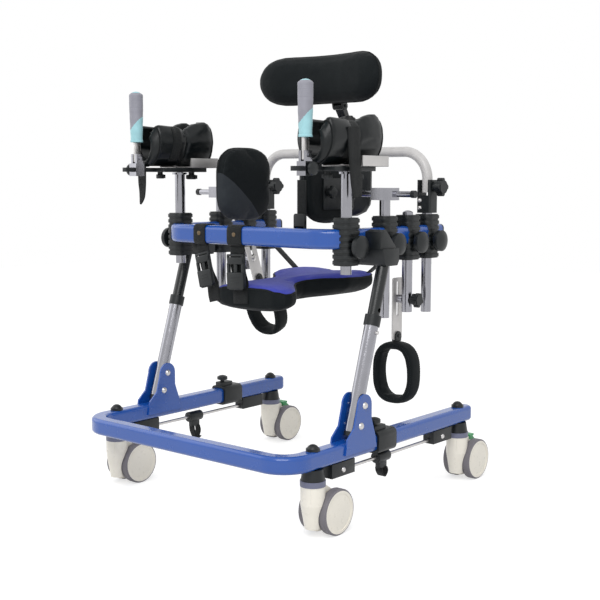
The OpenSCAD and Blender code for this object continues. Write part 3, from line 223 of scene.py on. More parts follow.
def plated_metal(name, base, low, high, stretch):
    """Metal with fine drawing marks along one axis and some smudging."""
    tree, surface, place = start(name)
    give(surface, {"Metallic": 1})
    tint(tree, surface, base, noise(tree, place, 0.03, 4), 0.86, 1.08)
    spread(tree, surface, noise(tree, place, 0.004, 4, stretch), low, high)
    raise_by(tree, surface, noise(tree, place, 0.0012, 2, stretch), 0.00004)


def moulded_plastic(name, base, low, high, grain, shades=(0.82, 1.2), gloss=0.5):
    """Moulded plastic with an eroded grain and slight handling marks."""
    tree, surface, place = start(name)
    tint(tree, surface, base, noise(tree, place, 0.025, 5), *shades)
    spread(tree, surface, noise(tree, place, 0.012, 5), low, high)
    raise_by(tree, surface, noise(tree, place, grain, 2), 0.00012)
    give(surface, {"Specular IOR Level": gloss})


def knit_cloth(name, base, loop, lustre):
    """Knit or coated cloth: rounded loops, soft blotches and a sheen."""
    tree, surface, place = start(name)
    cells = add(tree, "ShaderNodeTexVoronoi", {"Scale": 1 / loop}, {"Vector": place}, feature="SMOOTH_F1")
    blotch = noise(tree, place, 0.03, 4)
    tint(tree, surface, base, combine(tree, "MULTIPLY", cells.outputs["Distance"], blotch), 1.35, 0.7)
    spread(tree, surface, blotch, 0.62, 0.82)
    raise_by(tree, surface, cells.outputs["Distance"], 0.0005, 0.6)
    give(surface, {"Specular IOR Level": 0.15, "Sheen Weight": lustre, "Sheen Roughness": 0.45})


def strap_webbing(name, base):
    """Woven webbing: ribs that run to a point along its middle, from UVs in metres; the ribs are bumped, and
    their colour is painted lighter on the crests and darker in the grooves as painted highlight and painted
    shade.
    """
    tree, surface, place = start(name)
    flat = add(tree, "ShaderNodeUVMap").outputs["UV"]
    parts = add(tree, "ShaderNodeSeparateXYZ", links={"Vector": flat})
    run = combine(tree, "ADD", parts.outputs["Y"], combine(tree, "ABSOLUTE", parts.outputs["X"]))
    wave = combine(tree, "SINE", combine(tree, "MULTIPLY", run, 2 * pi / RIB_SPACING))
    rib = add(tree, "ShaderNodeMapRange", {"From Min": -1.0}, {"Value": wave}).outputs["Result"]
    # painted highlight and painted shade: the colour follows the rib height, lighter on the crests and darker
    # in the grooves
    tint(tree, surface, base, rib, 0.75, 1.6)
    spread(tree, surface, noise(tree, place, 0.008), 0.5, 0.75)
    raise_by(tree, surface, rib, 0.0004, 0.8)
    give(surface, {"Specular IOR Level": 0.18, "Sheen Weight": 0.08})


def make_materials(colours):
    """All finishes of the object, named for what they are made of."""
    gloss_paint("powder_coat_blue", colours.paint, 0.5)
    gloss_paint("powder_coat_black", colours.cover, 0.1)
    plated_metal("chrome_plated_steel", colours.chrome, 0.1, 0.26, (1, 1, 0.06))
    plated_metal("zinc_plated_steel", colours.silver, 0.22, 0.4, (1, 1, 1))
    plated_metal("brushed_aluminium", colours.silver, 0.5, 0.66, (1, 0.05, 1))
    plated_metal("aged_brass", srgb("6e5f4c"), 0.3, 0.45, (1, 1, 1))
    moulded_plastic("silver_lacquered_tube", colours.silver, 0.25, 0.4, 0.003)
    moulded_plastic("black_nylon", colours.black, 0.34, 0.52, 0.0012, gloss=0.4)
    moulded_plastic("black_vinyl", colours.cover, 0.26, 0.4, 0.0016, gloss=0.32)
    moulded_plastic("ivory_abs", colours.ivory, 0.22, 0.36, 0.004, (0.95, 1.04))
    moulded_plastic("grey_tread_rubber", colours.tyre, 0.5, 0.7, 0.0009)
    moulded_plastic("grey_acetal", colours.ring, 0.35, 0.5, 0.002)
    moulded_plastic("grey_grip_rubber", colours.grip, 0.42, 0.6, 0.0007)
    moulded_plastic("aqua_grip_rubber", colours.aqua, 0.35, 0.5, 0.0007)
    moulded_plastic("green_abs", colours.pedal, 0.3, 0.45, 0.002)
    knit_cloth("black_spacer_knit", colours.cover, 0.0021, 0.06)
    knit_cloth("violet_coated_cloth", colours.seat, 0.0016, 0.2)
    knit_cloth("black_binding", colours.webbing, 0.001, 0.12)
    knit_cloth("charcoal_twill", colours.band, 0.0012, 0.15)
    knit_cloth("dark_thread", srgb("23282a"), 0.0006, 0.1)
    strap_webbing("black_webbing", colours.webbing)


# Meshes


def place_piece(name, mesh, body, nodes=()):
    """Puts a finished mesh on its CAD body, instead of the nodes it stands for."""
    made = bpy.data.objects.new(name, mesh)
    bpy.context.scene.collection.objects.link(made)
    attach(made, body)
    if nodes:
        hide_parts(*nodes)
    return made


def smooth(mesh, materials, sharp=None):
    """Gives a mesh its materials and smooth shading; edges steeper than sharp degrees stay hard."""
    for m in materials:
        mesh.materials.append(MATERIALS[m])
    mesh.shade_smooth()
    if sharp:
        mesh.set_sharp_from_angle(angle=radians(sharp))
    return mesh


def mesh_from(name, points, faces, materials, uvs=None, sharp=None):
    """A smooth mesh; uvs has one pair for each corner."""
    made = bpy.data.meshes.new(name)
    made.from_pydata([tuple(p) for p in points], [], faces)
    if uvs is not None:
        layer = made.uv_layers.new(name="UVMap")
        layer.data.foreach_set("uv", np.array(uvs, np.float32).ravel())
    return smooth(made, materials, sharp)


def from_bmesh(name, bm, materials, sharp=None):
    """A smooth mesh from an edit mesh, which is freed."""
    made = bpy.data.meshes.new(name)
    bm.to_mesh(made)
    bm.free()
    return smooth(made, materials, sharp)


@cache
def shells(node):
    """The closed shells of a CAD node as (lowest corner, highest corner, points, faces), largest first."""
    bm = bmesh.new()
    bm.from_mesh(NODES[node].data)
    bmesh.ops.remove_doubles(bm, verts=bm.verts, dist=1e-6)
    left, found = dict.fromkeys(bm.verts), []
    while left:
        order, edge = {}, [left.popitem()[0]]
        while edge:
            v = edge.pop()
            order[v] = len(order)
            near = [e.other_vert(v) for e in v.link_edges]
            # left holds None for each vertex, so None comes back once for each one that is still in it
            edge += [o for o in near if left.pop(o, v) is None]
        points = np.array([v.co for v in order])
        sides = dict.fromkeys(f for v in order for f in v.link_faces)
        faces = [[order[v] for v in f.verts] for f in sides]
        found.append((points.min(0), points.max(0), points, faces))
    bm.free()
    return sorted(found, key=lambda s: -float(np.prod(s[1] - s[0])))


def ease_edges(mesh, width):
    """Rounds the sharp outside edges of a hard piece a little, as moulding and deburring leave them."""
    bm = bmesh.new()
    bm.from_mesh(mesh)
    bmesh.ops.dissolve_limit(bm, angle_limit=radians(1), verts=bm.verts, edges=bm.edges, delimit={"MATERIAL"})
    sharp = [e for e in bm.edges if e.is_manifold and e.is_convex and e.calc_face_angle() > radians(50)]
    bmesh.ops.bevel(bm, geom=sharp, offset=width, segments=2, profile=0.5, affect="EDGES", clamp_overlap=True)
    bmesh.ops.triangulate(bm, faces=[f for f in bm.faces if len(f.verts) > 4])
    bm.to_mesh(mesh)
    bm.free()


def dress(node, materials, choose=None, name=None, pick=None, ease=0.0):
    """A copy of a CAD node, on its body, whose faces get one of several materials and whose edges may be
    eased: choose(face middle, shell's lowest corner, highest corner) gives the material's index."""
    points, faces, indices = [], [], []
    for low, high, shell_points, shell_faces in shells(node):
        if pick and not pick(low, high):
            continue
        base = len(points)
        points += list(shell_points)
        for f in shell_faces:
            faces.append([i + base for i in f])
            indices.append(choose(shell_points[f].mean(0), low, high) if choose else 0)
    mesh = mesh_from(name or node + "_finish", points, faces, materials)
    mesh.polygons.foreach_set("material_index", indices)
    if ease:
        ease_edges(mesh, ease)
    smooth(mesh, [], 32)
    return place_piece(mesh.name, mesh, BODIES[node], [node])


def reach(node):
    """How far a CAD node reaches to its own side."""
    return max(abs(corner.x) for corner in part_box(node))


def dress_ends(node, materials, limit, ease=0.0):
    """A copy of a CAD node whose faces further out than limit get the second material."""
    return dress(node, materials, lambda at, low, high: int(abs(at[0]) > limit), ease=ease)


def repaint(material, *nodes):
    """A better material on CAD nodes whose shape is right."""
    for node in nodes:
        for i in range(len(NODES[node].material_slots)):
            NODES[node].data.materials[i] = MATERIALS[material]


def applied(obj, name):
    """The mesh of an object with its modifiers, after which the object is removed."""
    graph = bpy.context.evaluated_depsgraph_get()
    mesh = bpy.data.meshes.new_from_object(obj.evaluated_get(graph), depsgraph=graph)
    mesh.name = name
    bpy.data.objects.remove(obj)
    return mesh


def scratch(name, mesh):
    """An object that carries a mesh without being a piece."""
    made = bpy.data.objects.new(name, mesh)
    bpy.context.scene.collection.objects.link(made)
    return made


def coords(mesh, field="co"):
    """Places, or normals, of a mesh's vertices as rows."""
    flat = np.zeros(len(mesh.vertices) * 3)
    mesh.vertices.foreach_get(field, flat)
    return flat.reshape(-1, 3)


def set_coords(mesh, co):
    """Moves a mesh's vertices."""
    mesh.vertices.foreach_set("co", np.asarray(co, float).ravel())
    mesh.update()


def surface_of(mesh):
    """A tree that finds places on a mesh."""
    return BVHTree.FromPolygons(coords(mesh).tolist(), [list(f.vertices) for f in mesh.polygons])


def swell(name, mesh, voxel, cap, firm):
    """Remeshes a pad and blows its cover up as cloth. firm(points) is 1 where the pad rests on something and
    0 where it is free; no point moves further than cap."""
    raw = scratch(name + "_raw", mesh)
    remesh = raw.modifiers.new("even", "REMESH")
    remesh.mode = "VOXEL"
    remesh.voxel_size = voxel
    even = applied(raw, name)
    before = coords(even)
    hold = firm(before)
    body = scratch(name + "_cloth", even)
    group = body.vertex_groups.new(name="hold")
    for i in np.flatnonzero(hold > 0.01):
        group.add([int(i)], float(hold[i]), "REPLACE")
    cloth = body.modifiers.new("cover", "CLOTH")
    for key, value in COVER_CLOTH.items():
        setattr(cloth.settings, key, value)
    cloth.settings.effector_weights.gravity = 0
    for step in range(1, SWELL_FRAMES + 1):
        bpy.context.scene.frame_set(step)
    graph = bpy.context.evaluated_depsgraph_get()
    blown = bpy.data.meshes.new_from_object(body.evaluated_get(graph), depsgraph=graph)
    move = coords(blown) - before
    bpy.context.scene.frame_set(1)
    bpy.data.objects.remove(body)
    far = np.linalg.norm(move, axis=1, keepdims=True)
    move *= np.minimum(1, cap / np.maximum(far, 1e-9)) * (1 - hold[:, None])
    set_coords(even, before + move)
    fine = scratch(name + "_fine", even)
    fine.modifiers.new("fine", "SUBSURF").levels = 1
    return smooth(applied(fine, name), [])


def press(mesh, away, depth, width):
    """Draws a seam into a pad: points sink by depth where away, in metres, is near nought."""
    sink = depth * np.exp(-((away / width) ** 2))
    set_coords(mesh, coords(mesh) - coords(mesh, "normal") * sink[:, None])


def lines_at(mesh, value):
    """The lines on a mesh along which value, given for each vertex, passes through nought, longest first."""
    co, joined = coords(mesh), {}
    for face in mesh.polygons:
        around = list(face.vertices)
        cuts = [
            (min(a, b), max(a, b))
            for a, b in zip(around, around[1:] + around[:1])
            if (value[a] < 0) != (value[b] < 0)
        ]
        if len(cuts) == 2:
            joined.setdefault(cuts[0], []).append(cuts[1])
            joined.setdefault(cuts[1], []).append(cuts[0])
    lines = []
    while joined:
        key = next((k for k, v in joined.items() if len(v) == 1), next(iter(joined)))
        run = []
        while key in joined:
            run.append(key)
            key = next((k for k in joined.pop(key) if k in joined), None)
        a, b = np.array(run).T
        share = (value[a] / (value[a] - value[b]))[:, None]
        lines.append(co[a] + (co[b] - co[a]) * share)
    return sorted(lines, key=len, reverse=True)


def seam_at(mesh, value, step=SEAM_STEP, rounds=3):
    """The longest line on a mesh where value passes through nought, as an even closed path."""
    return even_line(lines_at(mesh, value)[0], step, rounds=rounds), True


def run_along(points):
    """Distance from a line's start at each of its points."""
    return np.concatenate([[0], np.cumsum(np.linalg.norm(np.diff(points, axis=0), axis=1))])


def even_line(line, step, closed=True, rounds=3):
    """A line smoothed and set out in even steps."""
    pts = np.array(line, float)
    for _ in range(rounds):
        if closed:
            pts = (np.roll(pts, 1, 0) + 2 * pts + np.roll(pts, -1, 0)) / 4
        elif len(pts) > 2:
            pts[1:-1] = (pts[:-2] + 2 * pts[1:-1] + pts[2:]) / 4
    ends = np.vstack([pts, pts[:1]]) if closed else pts
    run = run_along(ends)
    count = max(4, int(round(run[-1] / step)))
    at = np.linspace(0, run[-1], count, endpoint=not closed)
    return np.stack([np.interp(at, run, ends[:, k]) for k in range(3)], 1)


def curve_through(points, step=0.004):
    """An even line along a smooth curve through a few points."""
    p = [np.array(q, float) for q in points]
    p = [2 * p[0] - p[1], *p, 2 * p[-1] - p[-2]]
    line = []
    for a, b, c, d in zip(p, p[1:], p[2:], p[3:]):
        square, cube = 2 * a - 5 * b + 4 * c - d, 3 * b - a - 3 * c + d
        for t in np.linspace(0, 1, 12, endpoint=False):
            line.append(0.5 * (2 * b + (c - a) * t + square * t**2 + cube * t**3))
    return even_line(line + [p[-2]], step, closed=False, rounds=0)


# Geometry node groups for what follows a path


def path_group(name, numbers):
    """A new group that takes paths, numbers and a material: its tree, the keys of its inputs, the inputs
    themselves and the paths as curves."""
    tree = bpy.data.node_groups.new(name, "GeometryNodeTree")
    kinds = {"Path": "Geometry", **dict.fromkeys(numbers, "Float"), "Material": "Material"}
    keys = {}
    for label, kind in kinds.items():
        made = tree.interface.new_socket(label, in_out="INPUT", socket_type="NodeSocket" + kind)
        keys[label] = made.identifier
    tree.interface.new_socket("Mesh", in_out="OUTPUT", socket_type="NodeSocketGeometry")
    given = add(tree, "NodeGroupInput").outputs
    curve = add(tree, "GeometryNodeMeshToCurve", links={0: given["Path"]}).outputs[0]
    return tree, keys, given, curve


def close_group(tree, given, shape):
    """Ends a group: instances become real and get the material."""
    whole = add(tree, "GeometryNodeRealizeInstances", links={0: shape.outputs[0]})
    links = {"Geometry": whole.outputs[0], "Material": given["Material"]}
    done = add(tree, "GeometryNodeSetMaterial", links=links)
    add(tree, "NodeGroupOutput", links={0: done.outputs[0]})


def piping_group():
    """A round cord of one radius along each path."""
    tree, keys, given, curve = path_group("piping_along_path", ["Radius"])
    ring = add(tree, "GeometryNodeCurvePrimitiveCircle", {"Resolution": 10}, {"Radius": given["Radius"]})
    links = {"Curve": curve, "Profile Curve": ring.outputs["Curve"]}
    close_group(tree, given, add(tree, "GeometryNodeCurveToMesh", {"Fill Caps": True}, links))
    return tree, keys


def stitch_group():
    """Short rounded stitches in a row along each path."""
    tree, keys, given, curve = path_group("stitches_along_path", ["Radius", "Spacing"])
    links = {"Curve": curve, "Length": given["Spacing"]}
    row = add(tree, "GeometryNodeCurveToPoints", links=links, mode="LENGTH").outputs
    ball = add(tree, "GeometryNodeMeshIcoSphere", {"Subdivisions": 2}, {"Radius": given["Radius"]})
    long = add(tree, "GeometryNodeTransform", {"Scale": (1, 1, 3.2)}, {"Geometry": ball.outputs["Mesh"]})
    links = {"Points": row["Points"], "Instance": long.outputs["Geometry"], "Rotation": row["Rotation"]}
    close_group(tree, given, add(tree, "GeometryNodeInstanceOnPoints", links=links))
    return tree, keys


def follow(name, group, paths, material, body, slot, **inputs):
    """A piece that a node group makes along (points, closed) paths, as a plain mesh on a body."""
    points, edges = [], []
    for line, closed in paths:
        base, n = len(points), len(line)
        points += [tuple(p) for p in line]
        edges += [(base + i, base + i + 1) for i in range(n - 1)] + ([(base + n - 1, base)] if closed else [])
    mesh = bpy.data.meshes.new(name + "_path")
    mesh.from_pydata(points, edges, [])
    mesh.materials.append(MATERIALS[material])
    carrier = scratch(name + "_path", mesh)
    tree, keys = group
    maker = carrier.modifiers.new("maker", "NODES")
    maker.node_group = tree
    maker[keys["Material"]] = MATERIALS[material]
    for key, value in inputs.items():
        maker[keys[key]] = value
    return place_piece(name, smooth(applied(carrier, name), []), body)


def ribbon(name, line, across, width, thick, body, closed=False, nodes=(), taper=((0, 1), (1, 1))):
    """Webbing along a line: a flat band with rounded edges and UVs in metres, across one direction. taper
    gives shares of the width at shares of the length."""
    edge = thick / width
    half = [(1, 0), (1 - edge * 0.3, 0.7), (1 - edge, 1), (0.45, 1), (0, 1), (-0.45, 1), (edge - 1, 1)]
    section = half + [(edge * 0.3 - 1, 0.7)] + [(-u, -v) for u, v in half] + [(1 - edge * 0.3, -0.7)]
    pts, n, m = np.array(line, float), len(line), len(section)
    run = run_along(pts)
    points, faces, uvs = [], [], []
    for i in range(n):
        a, b = (pts[i - 1], pts[(i + 1) % n]) if closed else (pts[max(i - 1, 0)], pts[min(i + 1, n - 1)])
        ahead = Vector(b - a).normalized()
        side = Vector(across)
        side = (side - ahead * side.dot(ahead)).normalized()
        up = side.cross(ahead)
        wide = width / 2 * np.interp(run[i] / run[-1], *zip(*taper))
        points += [Vector(pts[i]) + side * (u * wide) + up * (v * thick / 2) for u, v in section]
    for i in range(n if closed else n - 1):
        k, far = (i + 1) % n, run[i + 1] if i + 1 < n else run[-1] + np.linalg.norm(pts[0] - pts[-1])
        for j in range(m):
            q = (j + 1) % m
            faces.append([i * m + j, i * m + q, k * m + q, k * m + j])
            u0, u1 = section[j][0] * width / 2, section[q][0] * width / 2
            uvs += [(u0, run[i]), (u1, run[i]), (u1, far), (u0, far)]
    if not closed:
        for ring, ends in ((range(m - 1, -1, -1), run[0]), (range((n - 1) * m, n * m), run[-1])):
            faces.append(list(ring))
            uvs += [(section[j % m][0] * width / 2, ends) for j in ring]
    mesh = mesh_from(name, points, faces, ["black_webbing"], uvs)
    return place_piece(name, mesh, body, nodes)


def rounded_boxes(name, boxes, matrix, material, bevel):
    """One mesh of boxes with rounded edges, each (middle, size), placed by a matrix."""
    bm = bmesh.new()
    for middle, size in boxes:
        made = bmesh.ops.create_cube(bm, size=1)["verts"]
        place = Matrix.Translation(middle) @ Matrix.Diagonal((*size, 1))
        bmesh.ops.transform(bm, matrix=place, verts=made)
        edges = list(dict.fromkeys(e for v in made for e in v.link_edges))
        fit = min(bevel, 0.3 * min(size))
        bmesh.ops.bevel(bm, geom=edges, offset=fit, segments=3, profile=0.5, affect="EDGES")
    bmesh.ops.transform(bm, matrix=matrix, verts=bm.verts)
    return from_bmesh(name, bm, [material], 50)


def buckle(name, middle, size, lean, body):
    """Side-release buckle, leant sideways: socket, plug with two side arms and a tongue, strap bars."""
    w, d, h = size
    boxes = [
        ((0, 0, -0.24 * h), (0.96 * w, d, 0.46 * h)),
        ((0, 0, 0.31 * h), (0.9 * w, 0.8 * d, 0.2 * h)),
        ((0, 0, 0.1 * h), (0.2 * w, 0.45 * d, 0.3 * h)),
        ((0, 0, 0.46 * h), (0.98 * w, 0.5 * d, 0.07 * h)),
        ((0, 0, -0.485 * h), (0.8 * w, 0.6 * d, 0.03 * h)),
    ]
    boxes += [((0, -0.5 * d, -k * h), (0.5 * w, 0.1 * d, 0.03 * h)) for k in (0.3, 0.22, 0.14)]
    for side in (-1, 1):
        boxes += [
            ((side * 0.42 * w, 0, 0.1 * h), (0.16 * w, 0.6 * d, 0.3 * h)),
            ((side * 0.44 * w, 0, 0.4 * h), (0.1 * w, 0.5 * d, 0.14 * h)),
        ]
    place = Matrix.Translation(middle) @ Matrix.Rotation(lean, 4, "Y")
    mesh = rounded_boxes(name, boxes, place, "black_nylon", 0.002)
    return place_piece(name, mesh, body)


def stud(name, middle, radius, body):
    """Flat domed snap that faces the front."""
    bm = bmesh.new()
    bmesh.ops.create_uvsphere(bm, u_segments=24, v_segments=12, radius=radius)
    place = Matrix.Translation(middle) @ Matrix.Diagonal((1, 0.36, 1, 1))
    bmesh.ops.transform(bm, matrix=place, verts=bm.verts)
    return place_piece(name, from_bmesh(name, bm, ["aged_brass"]), body)


def sash(name, mesh, planes, material, body, lift=0.0004, thick=0.0016):
    """Cloth that lies on a pad: the part of its surface in front of all planes, each (point, normal)."""
    bm = bmesh.new()
    bm.from_mesh(mesh)
    for point, normal in planes:
        whole = [*bm.verts, *bm.edges, *bm.faces]
        bmesh.ops.bisect_plane(bm, geom=whole, plane_co=point, plane_no=normal, clear_inner=True)
    bm.normal_update()
    for v in bm.verts:
        v.co += v.normal * (lift + thick)
    bmesh.ops.solidify(bm, geom=bm.faces, thickness=thick)
    bmesh.ops.recalc_face_normals(bm, faces=bm.faces)
    return place_piece(name, from_bmesh(name, bm, [material], 60), body)


def trim(name, body, slot, sizes, piping=(), stitches=()):
    """Piping and rows of stitches on one pad."""
    if piping:
        follow(name + "_piping", GROUPS["piping"], piping, "black_binding", body, slot, Radius=sizes.piping)
    if stitches:
        sewn = {"Radius": sizes.thread, "Spacing": sizes.stitch}
        follow(name + "_stitches", GROUPS["stitches"], stitches, "dark_thread", body, slot, **sewn)


def backed(axis, face, side=1):
    """A firmness for swell: 1 next to the board behind a pad, whose place along an axis is face."""
    return lambda p: np.clip((side * (p[:, axis] - face) + BOARD_HOLD) / BOARD_FADE, 0, 1)


def free(points):
    """A firmness for swell: free everywhere."""
    return np.zeros(len(points))


def pad_mesh(name, shell, sizes, firm, cap=None):
    """A swollen pad made from a CAD shell."""
    plain = mesh_from(name + "_plain", shell[2], shell[3], [])
    return swell(name, plain, sizes.voxel, cap or sizes.puff, firm)


def hardware(node):
    """The hard fittings of a CAD node whose first shell is soft."""
    soft = shells(node)[0][0]
    return dress(
        node, ["black_nylon"], name=node + "_fittings", ease=0.0008,
        pick=lambda low, high: not np.allclose(low, soft),
    )


# Operators, one for each piece or group of like pieces


class GAIT_OT_materials(bpy.types.Operator):
    """Makes the finishes and the node groups for piping and stitches"""

    bl_idname = "gait.materials"
    bl_label = "Materials"

    def execute(self, context):
        make_materials(context.scene.gait_colours)
        GROUPS.update(piping=piping_group(), stitches=stitch_group())
        return {"FINISHED"}


class GAIT_OT_frame(bpy.types.Operator):
    """Finishes the base, the upper frame, the uprights and their fittings"""

    bl_idname = "gait.frame"
    bl_label = "Frame"

    def execute(self, context):
        sizes = context.scene.gait_sizes
        repaint("powder_coat_blue", "base_frame", "upper_frame")
        repaint("powder_coat_black", "inner_tubes", "head_stem")
        repaint("chrome_plated_steel", "upright_tubes")
        repaint("zinc_plated_steel", "bracket_bolts", "stride_rods", "height_button_l", "height_button_r")
        repaint("black_nylon", "frame_caps")
        for node in ("upright_heads", "rail_clamps", "leg_sleeve_l", "leg_sleeve_r"):
            dress(node, ["black_nylon"], ease=sizes.edge)
        screwed = ["black_nylon", "zinc_plated_steel"]
        screw_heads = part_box("rod_boxes")[1].x - 0.0039
        dress_ends("rod_boxes", screwed, screw_heads, sizes.edge)
        for end in SIDES:
            self.ankle_clip(end, sizes)
        return {"FINISHED"}

    def ankle_clip(self, end, sizes):
        """Clip on a rod, and the strap that hangs from it in a loop, with a short tab on the left."""
        node, body = "ankle_slider_" + end, "ankle_" + end
        hook = min(shells(node), key=lambda s: s[1][2])
        top = hook[1][2] + 0.001
        dress(node, ["black_nylon"], pick=lambda low, high: high[2] > top, ease=sizes.edge)
        x, y = ((hook[0] + hook[1]) / 2)[:2]
        low = hook[0][2] - (0.006 if end == "l" else -0.006)
        mid = (top + low) / 2
        loop = [(-0.009, top), (-0.006, mid), (0.004, low), (0.014, mid), (0.011, top)]
        tab = [(-0.012, low - 0.005), (0.003, low - 0.002), (0.016, low + 0.003)]
        runs = [("strap", loop, 0.02)] + ([("tab", tab, 0.022)] if end == "l" else [])
        for part, run, width in runs:
            line = curve_through([(x, y + across, z) for across, z in run], 0.003)
            name = f"ankle_{part}_{end}"
            ribbon(name, line, (1, 0, 0), width, sizes.webbing, body)


class GAIT_OT_casters(bpy.types.Operator):
    """Finishes the caster housings, wheels, rings and brake pedals"""

    bl_idname = "gait.casters"
    bl_label = "Casters"

    def execute(self, context):
        ring_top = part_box("caster_sockets")[0].z + RING_HEIGHT
        dress(
            "caster_sockets", ["black_nylon", "grey_acetal"],
            lambda at, low, high: int(at[2] < ring_top + 1e-5),
        )
        repaint("green_abs", "brake_pedal_l", "brake_pedal_r")
        for end in ("fl", "fr", "rl", "rr"):
            repaint("ivory_abs", "caster_housing_" + end)
            node = "caster_wheels_" + end
            low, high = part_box(node)
            middle, radius = (low + high) / 2, (high.z - low.z) / 2

            def part(at, shell_low, shell_high):
                """Tread, hub or axle; the hub's disc covers the flat side of the tyre."""
                if shell_high[2] - shell_low[2] < AXLE_MOST:
                    return 2
                return int(hypot(at[1] - middle.y, at[2] - middle.z) < HUB_SHARE * radius)

            dress(node, ["grey_tread_rubber", "ivory_abs", "zinc_plated_steel"], part)
        return {"FINISHED"}


class GAIT_OT_posts(bpy.types.Operator):
    """Finishes the support posts, rods, plates and knobs"""

    bl_idname = "gait.posts"
    bl_label = "Posts and knobs"

    def execute(self, context):
        sizes = context.scene.gait_sizes
        repaint("silver_lacquered_tube", "back_bar")
        repaint("black_nylon", "back_knob_l", "back_knob_r")
        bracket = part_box("rail_clamps")[1].z + 0.0028
        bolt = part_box("back_bar")[0].y - 0.0047
        dress(
            "back_posts", ["chrome_plated_steel", "black_nylon", "zinc_plated_steel"],
            lambda at, low, high: 2 if at[1] < bolt else int(at[2] > bracket),
        )
        capped = ["chrome_plated_steel", "black_nylon"]
        for end in SIDES:
            for post in ("forearm_post_", "trunk_post_", "cuff_post_"):
                repaint("chrome_plated_steel", post + end)
            repaint("brushed_aluminium", "cuff_plate_" + end)
            rod, tray, stem = "trunk_rod_" + end, "forearm_tray_" + end, "grip_stem_" + end
            dress_ends(rod, capped, reach(rod) - CAP_LENGTH)
            knobbed = ["zinc_plated_steel", "black_nylon"]
            dress_ends("cuff_bolt_" + end, knobbed, reach("cuff_post_" + end))
            dress(
                tray, ["black_nylon", "brushed_aluminium"],
                lambda at, low, high: int(high[0] - low[0] > CHANNEL_LEAST), ease=sizes.edge,
            )
            dress_ends(stem, capped, reach(stem) - KNOB_LENGTH)
        return {"FINISHED"}


class GAIT_OT_grips(bpy.types.Operator):
    """Makes the two-colour hand grips with their ribs and rims"""

    bl_idname = "gait.grips"
    bl_label = "Hand grips"

    def execute(self, context):
        for end in SIDES:
            node = "hand_grip_" + end
            low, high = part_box(node)
            foot = high.z - GRIP_LENGTH
            x, y, r = (low.x + high.x) / 2, (low.y + high.y) / 2, (high.x - low.x) / 2
            turns, steps = GRIP_TURNS, GRIP_STEPS
            # rings of points from the foot up: the hold thickens, then come ribs and a rounded end
            points, faces, indices = [], [], []
            for i in range(steps + 1):
                t = i / steps
                round_end = min(1, hypot(0.35, 1) * (1 - t) * 14) ** 0.5 if t > 0.93 else 1
                hold = 0.84 + 0.16 * min(1, t / 0.7) + 0.012 * cos(t * 9 * pi) * (0.1 < t < 0.62)
                rib = -0.018 * (0.66 < t < 0.9) * (cos(2 * pi * t * GRIP_LENGTH / GRIP_RIB) > 0.3)
                rim = 0.07 * (t < 0.035)
                ring = r * min(1, hold + rib + rim) * round_end
                for j in range(turns):
                    a = 2 * pi * j / turns
                    points.append((x + ring * cos(a), y + ring * sin(a), foot + t * (high.z - foot)))
            for i in range(steps):
                for j in range(turns):
                    k = (j + 1) % turns
                    faces.append([i * turns + j, i * turns + k, (i + 1) * turns + k, (i + 1) * turns + j])
                    lean = 0.36 + 0.14 * cos(2 * pi * (j + 0.5) / turns - 0.6)
                    indices.append(int((i + 0.5) / steps < lean or i > 0.962 * steps))
            faces += [list(range(turns - 1, -1, -1)), list(range(steps * turns, (steps + 1) * turns))]
            indices += [1, 1]
            rubbers = ["grey_grip_rubber", "aqua_grip_rubber"]
            mesh = mesh_from(node + "_moulded", points, faces, rubbers, sharp=40)
            mesh.polygons.foreach_set("material_index", indices)
            place_piece(mesh.name, mesh, "grip_" + end, [node])
            lug = ((x, y, (low.z + foot) / 2 + 0.001), (0.0074, 0.018, foot - low.z + 0.004))
            stalk = rounded_boxes(node + "_stalk", [lug], Matrix(), "zinc_plated_steel", 0.003)
            place_piece(stalk.name, stalk, "grip_" + end)
        return {"FINISHED"}


class GAIT_OT_headrest(bpy.types.Operator):
    """Makes the curved headrest cushion with its piping"""

    bl_idname = "gait.headrest"
    bl_label = "Headrest"

    def execute(self, context):
        sizes = context.scene.gait_sizes
        shell = shells("headrest")[0]
        rear = shell[1][1]
        mesh = pad_mesh("headrest_cushion", shell, sizes, backed(1, rear))
        co = coords(mesh)
        # the seam follows the circle through the pad's middle thickness
        middle = rear - HEADREST_SEAM - HEADREST_RADIUS
        seam = [seam_at(mesh, np.hypot(co[:, 0], co[:, 1] - middle) - HEADREST_RADIUS)]
        mesh.materials.append(MATERIALS["black_spacer_knit"])
        made = place_piece("headrest_cushion", mesh, "headrest", ["headrest"])
        trim("headrest", "headrest", "black_cover", sizes, seam)
        hardware("headrest")
        return {"FINISHED"}


class GAIT_OT_back(bpy.types.Operator):
    """Makes the back pad with its piping and quilting"""

    bl_idname = "gait.back"
    bl_label = "Back pad"

    def execute(self, context):
        sizes = context.scene.gait_sizes
        shell = shells("back_pad")[0]
        rear = shell[1][1]
        mesh = pad_mesh("back_cushion", shell, sizes, backed(1, rear))
        for x in (-BACK_QUILT, BACK_QUILT):
            press(mesh, coords(mesh)[:, 0] - x, 0.004, 0.006)
        seam = [seam_at(mesh, coords(mesh)[:, 1] - (rear - BACK_SEAM))]
        mesh.materials.append(MATERIALS["black_spacer_knit"])
        made = place_piece("back_cushion", mesh, "back_rest", ["back_pad"])
        trim("back", "back_rest", "black_cover", sizes, seam)
        hardware("back_pad")
        return {"FINISHED"}


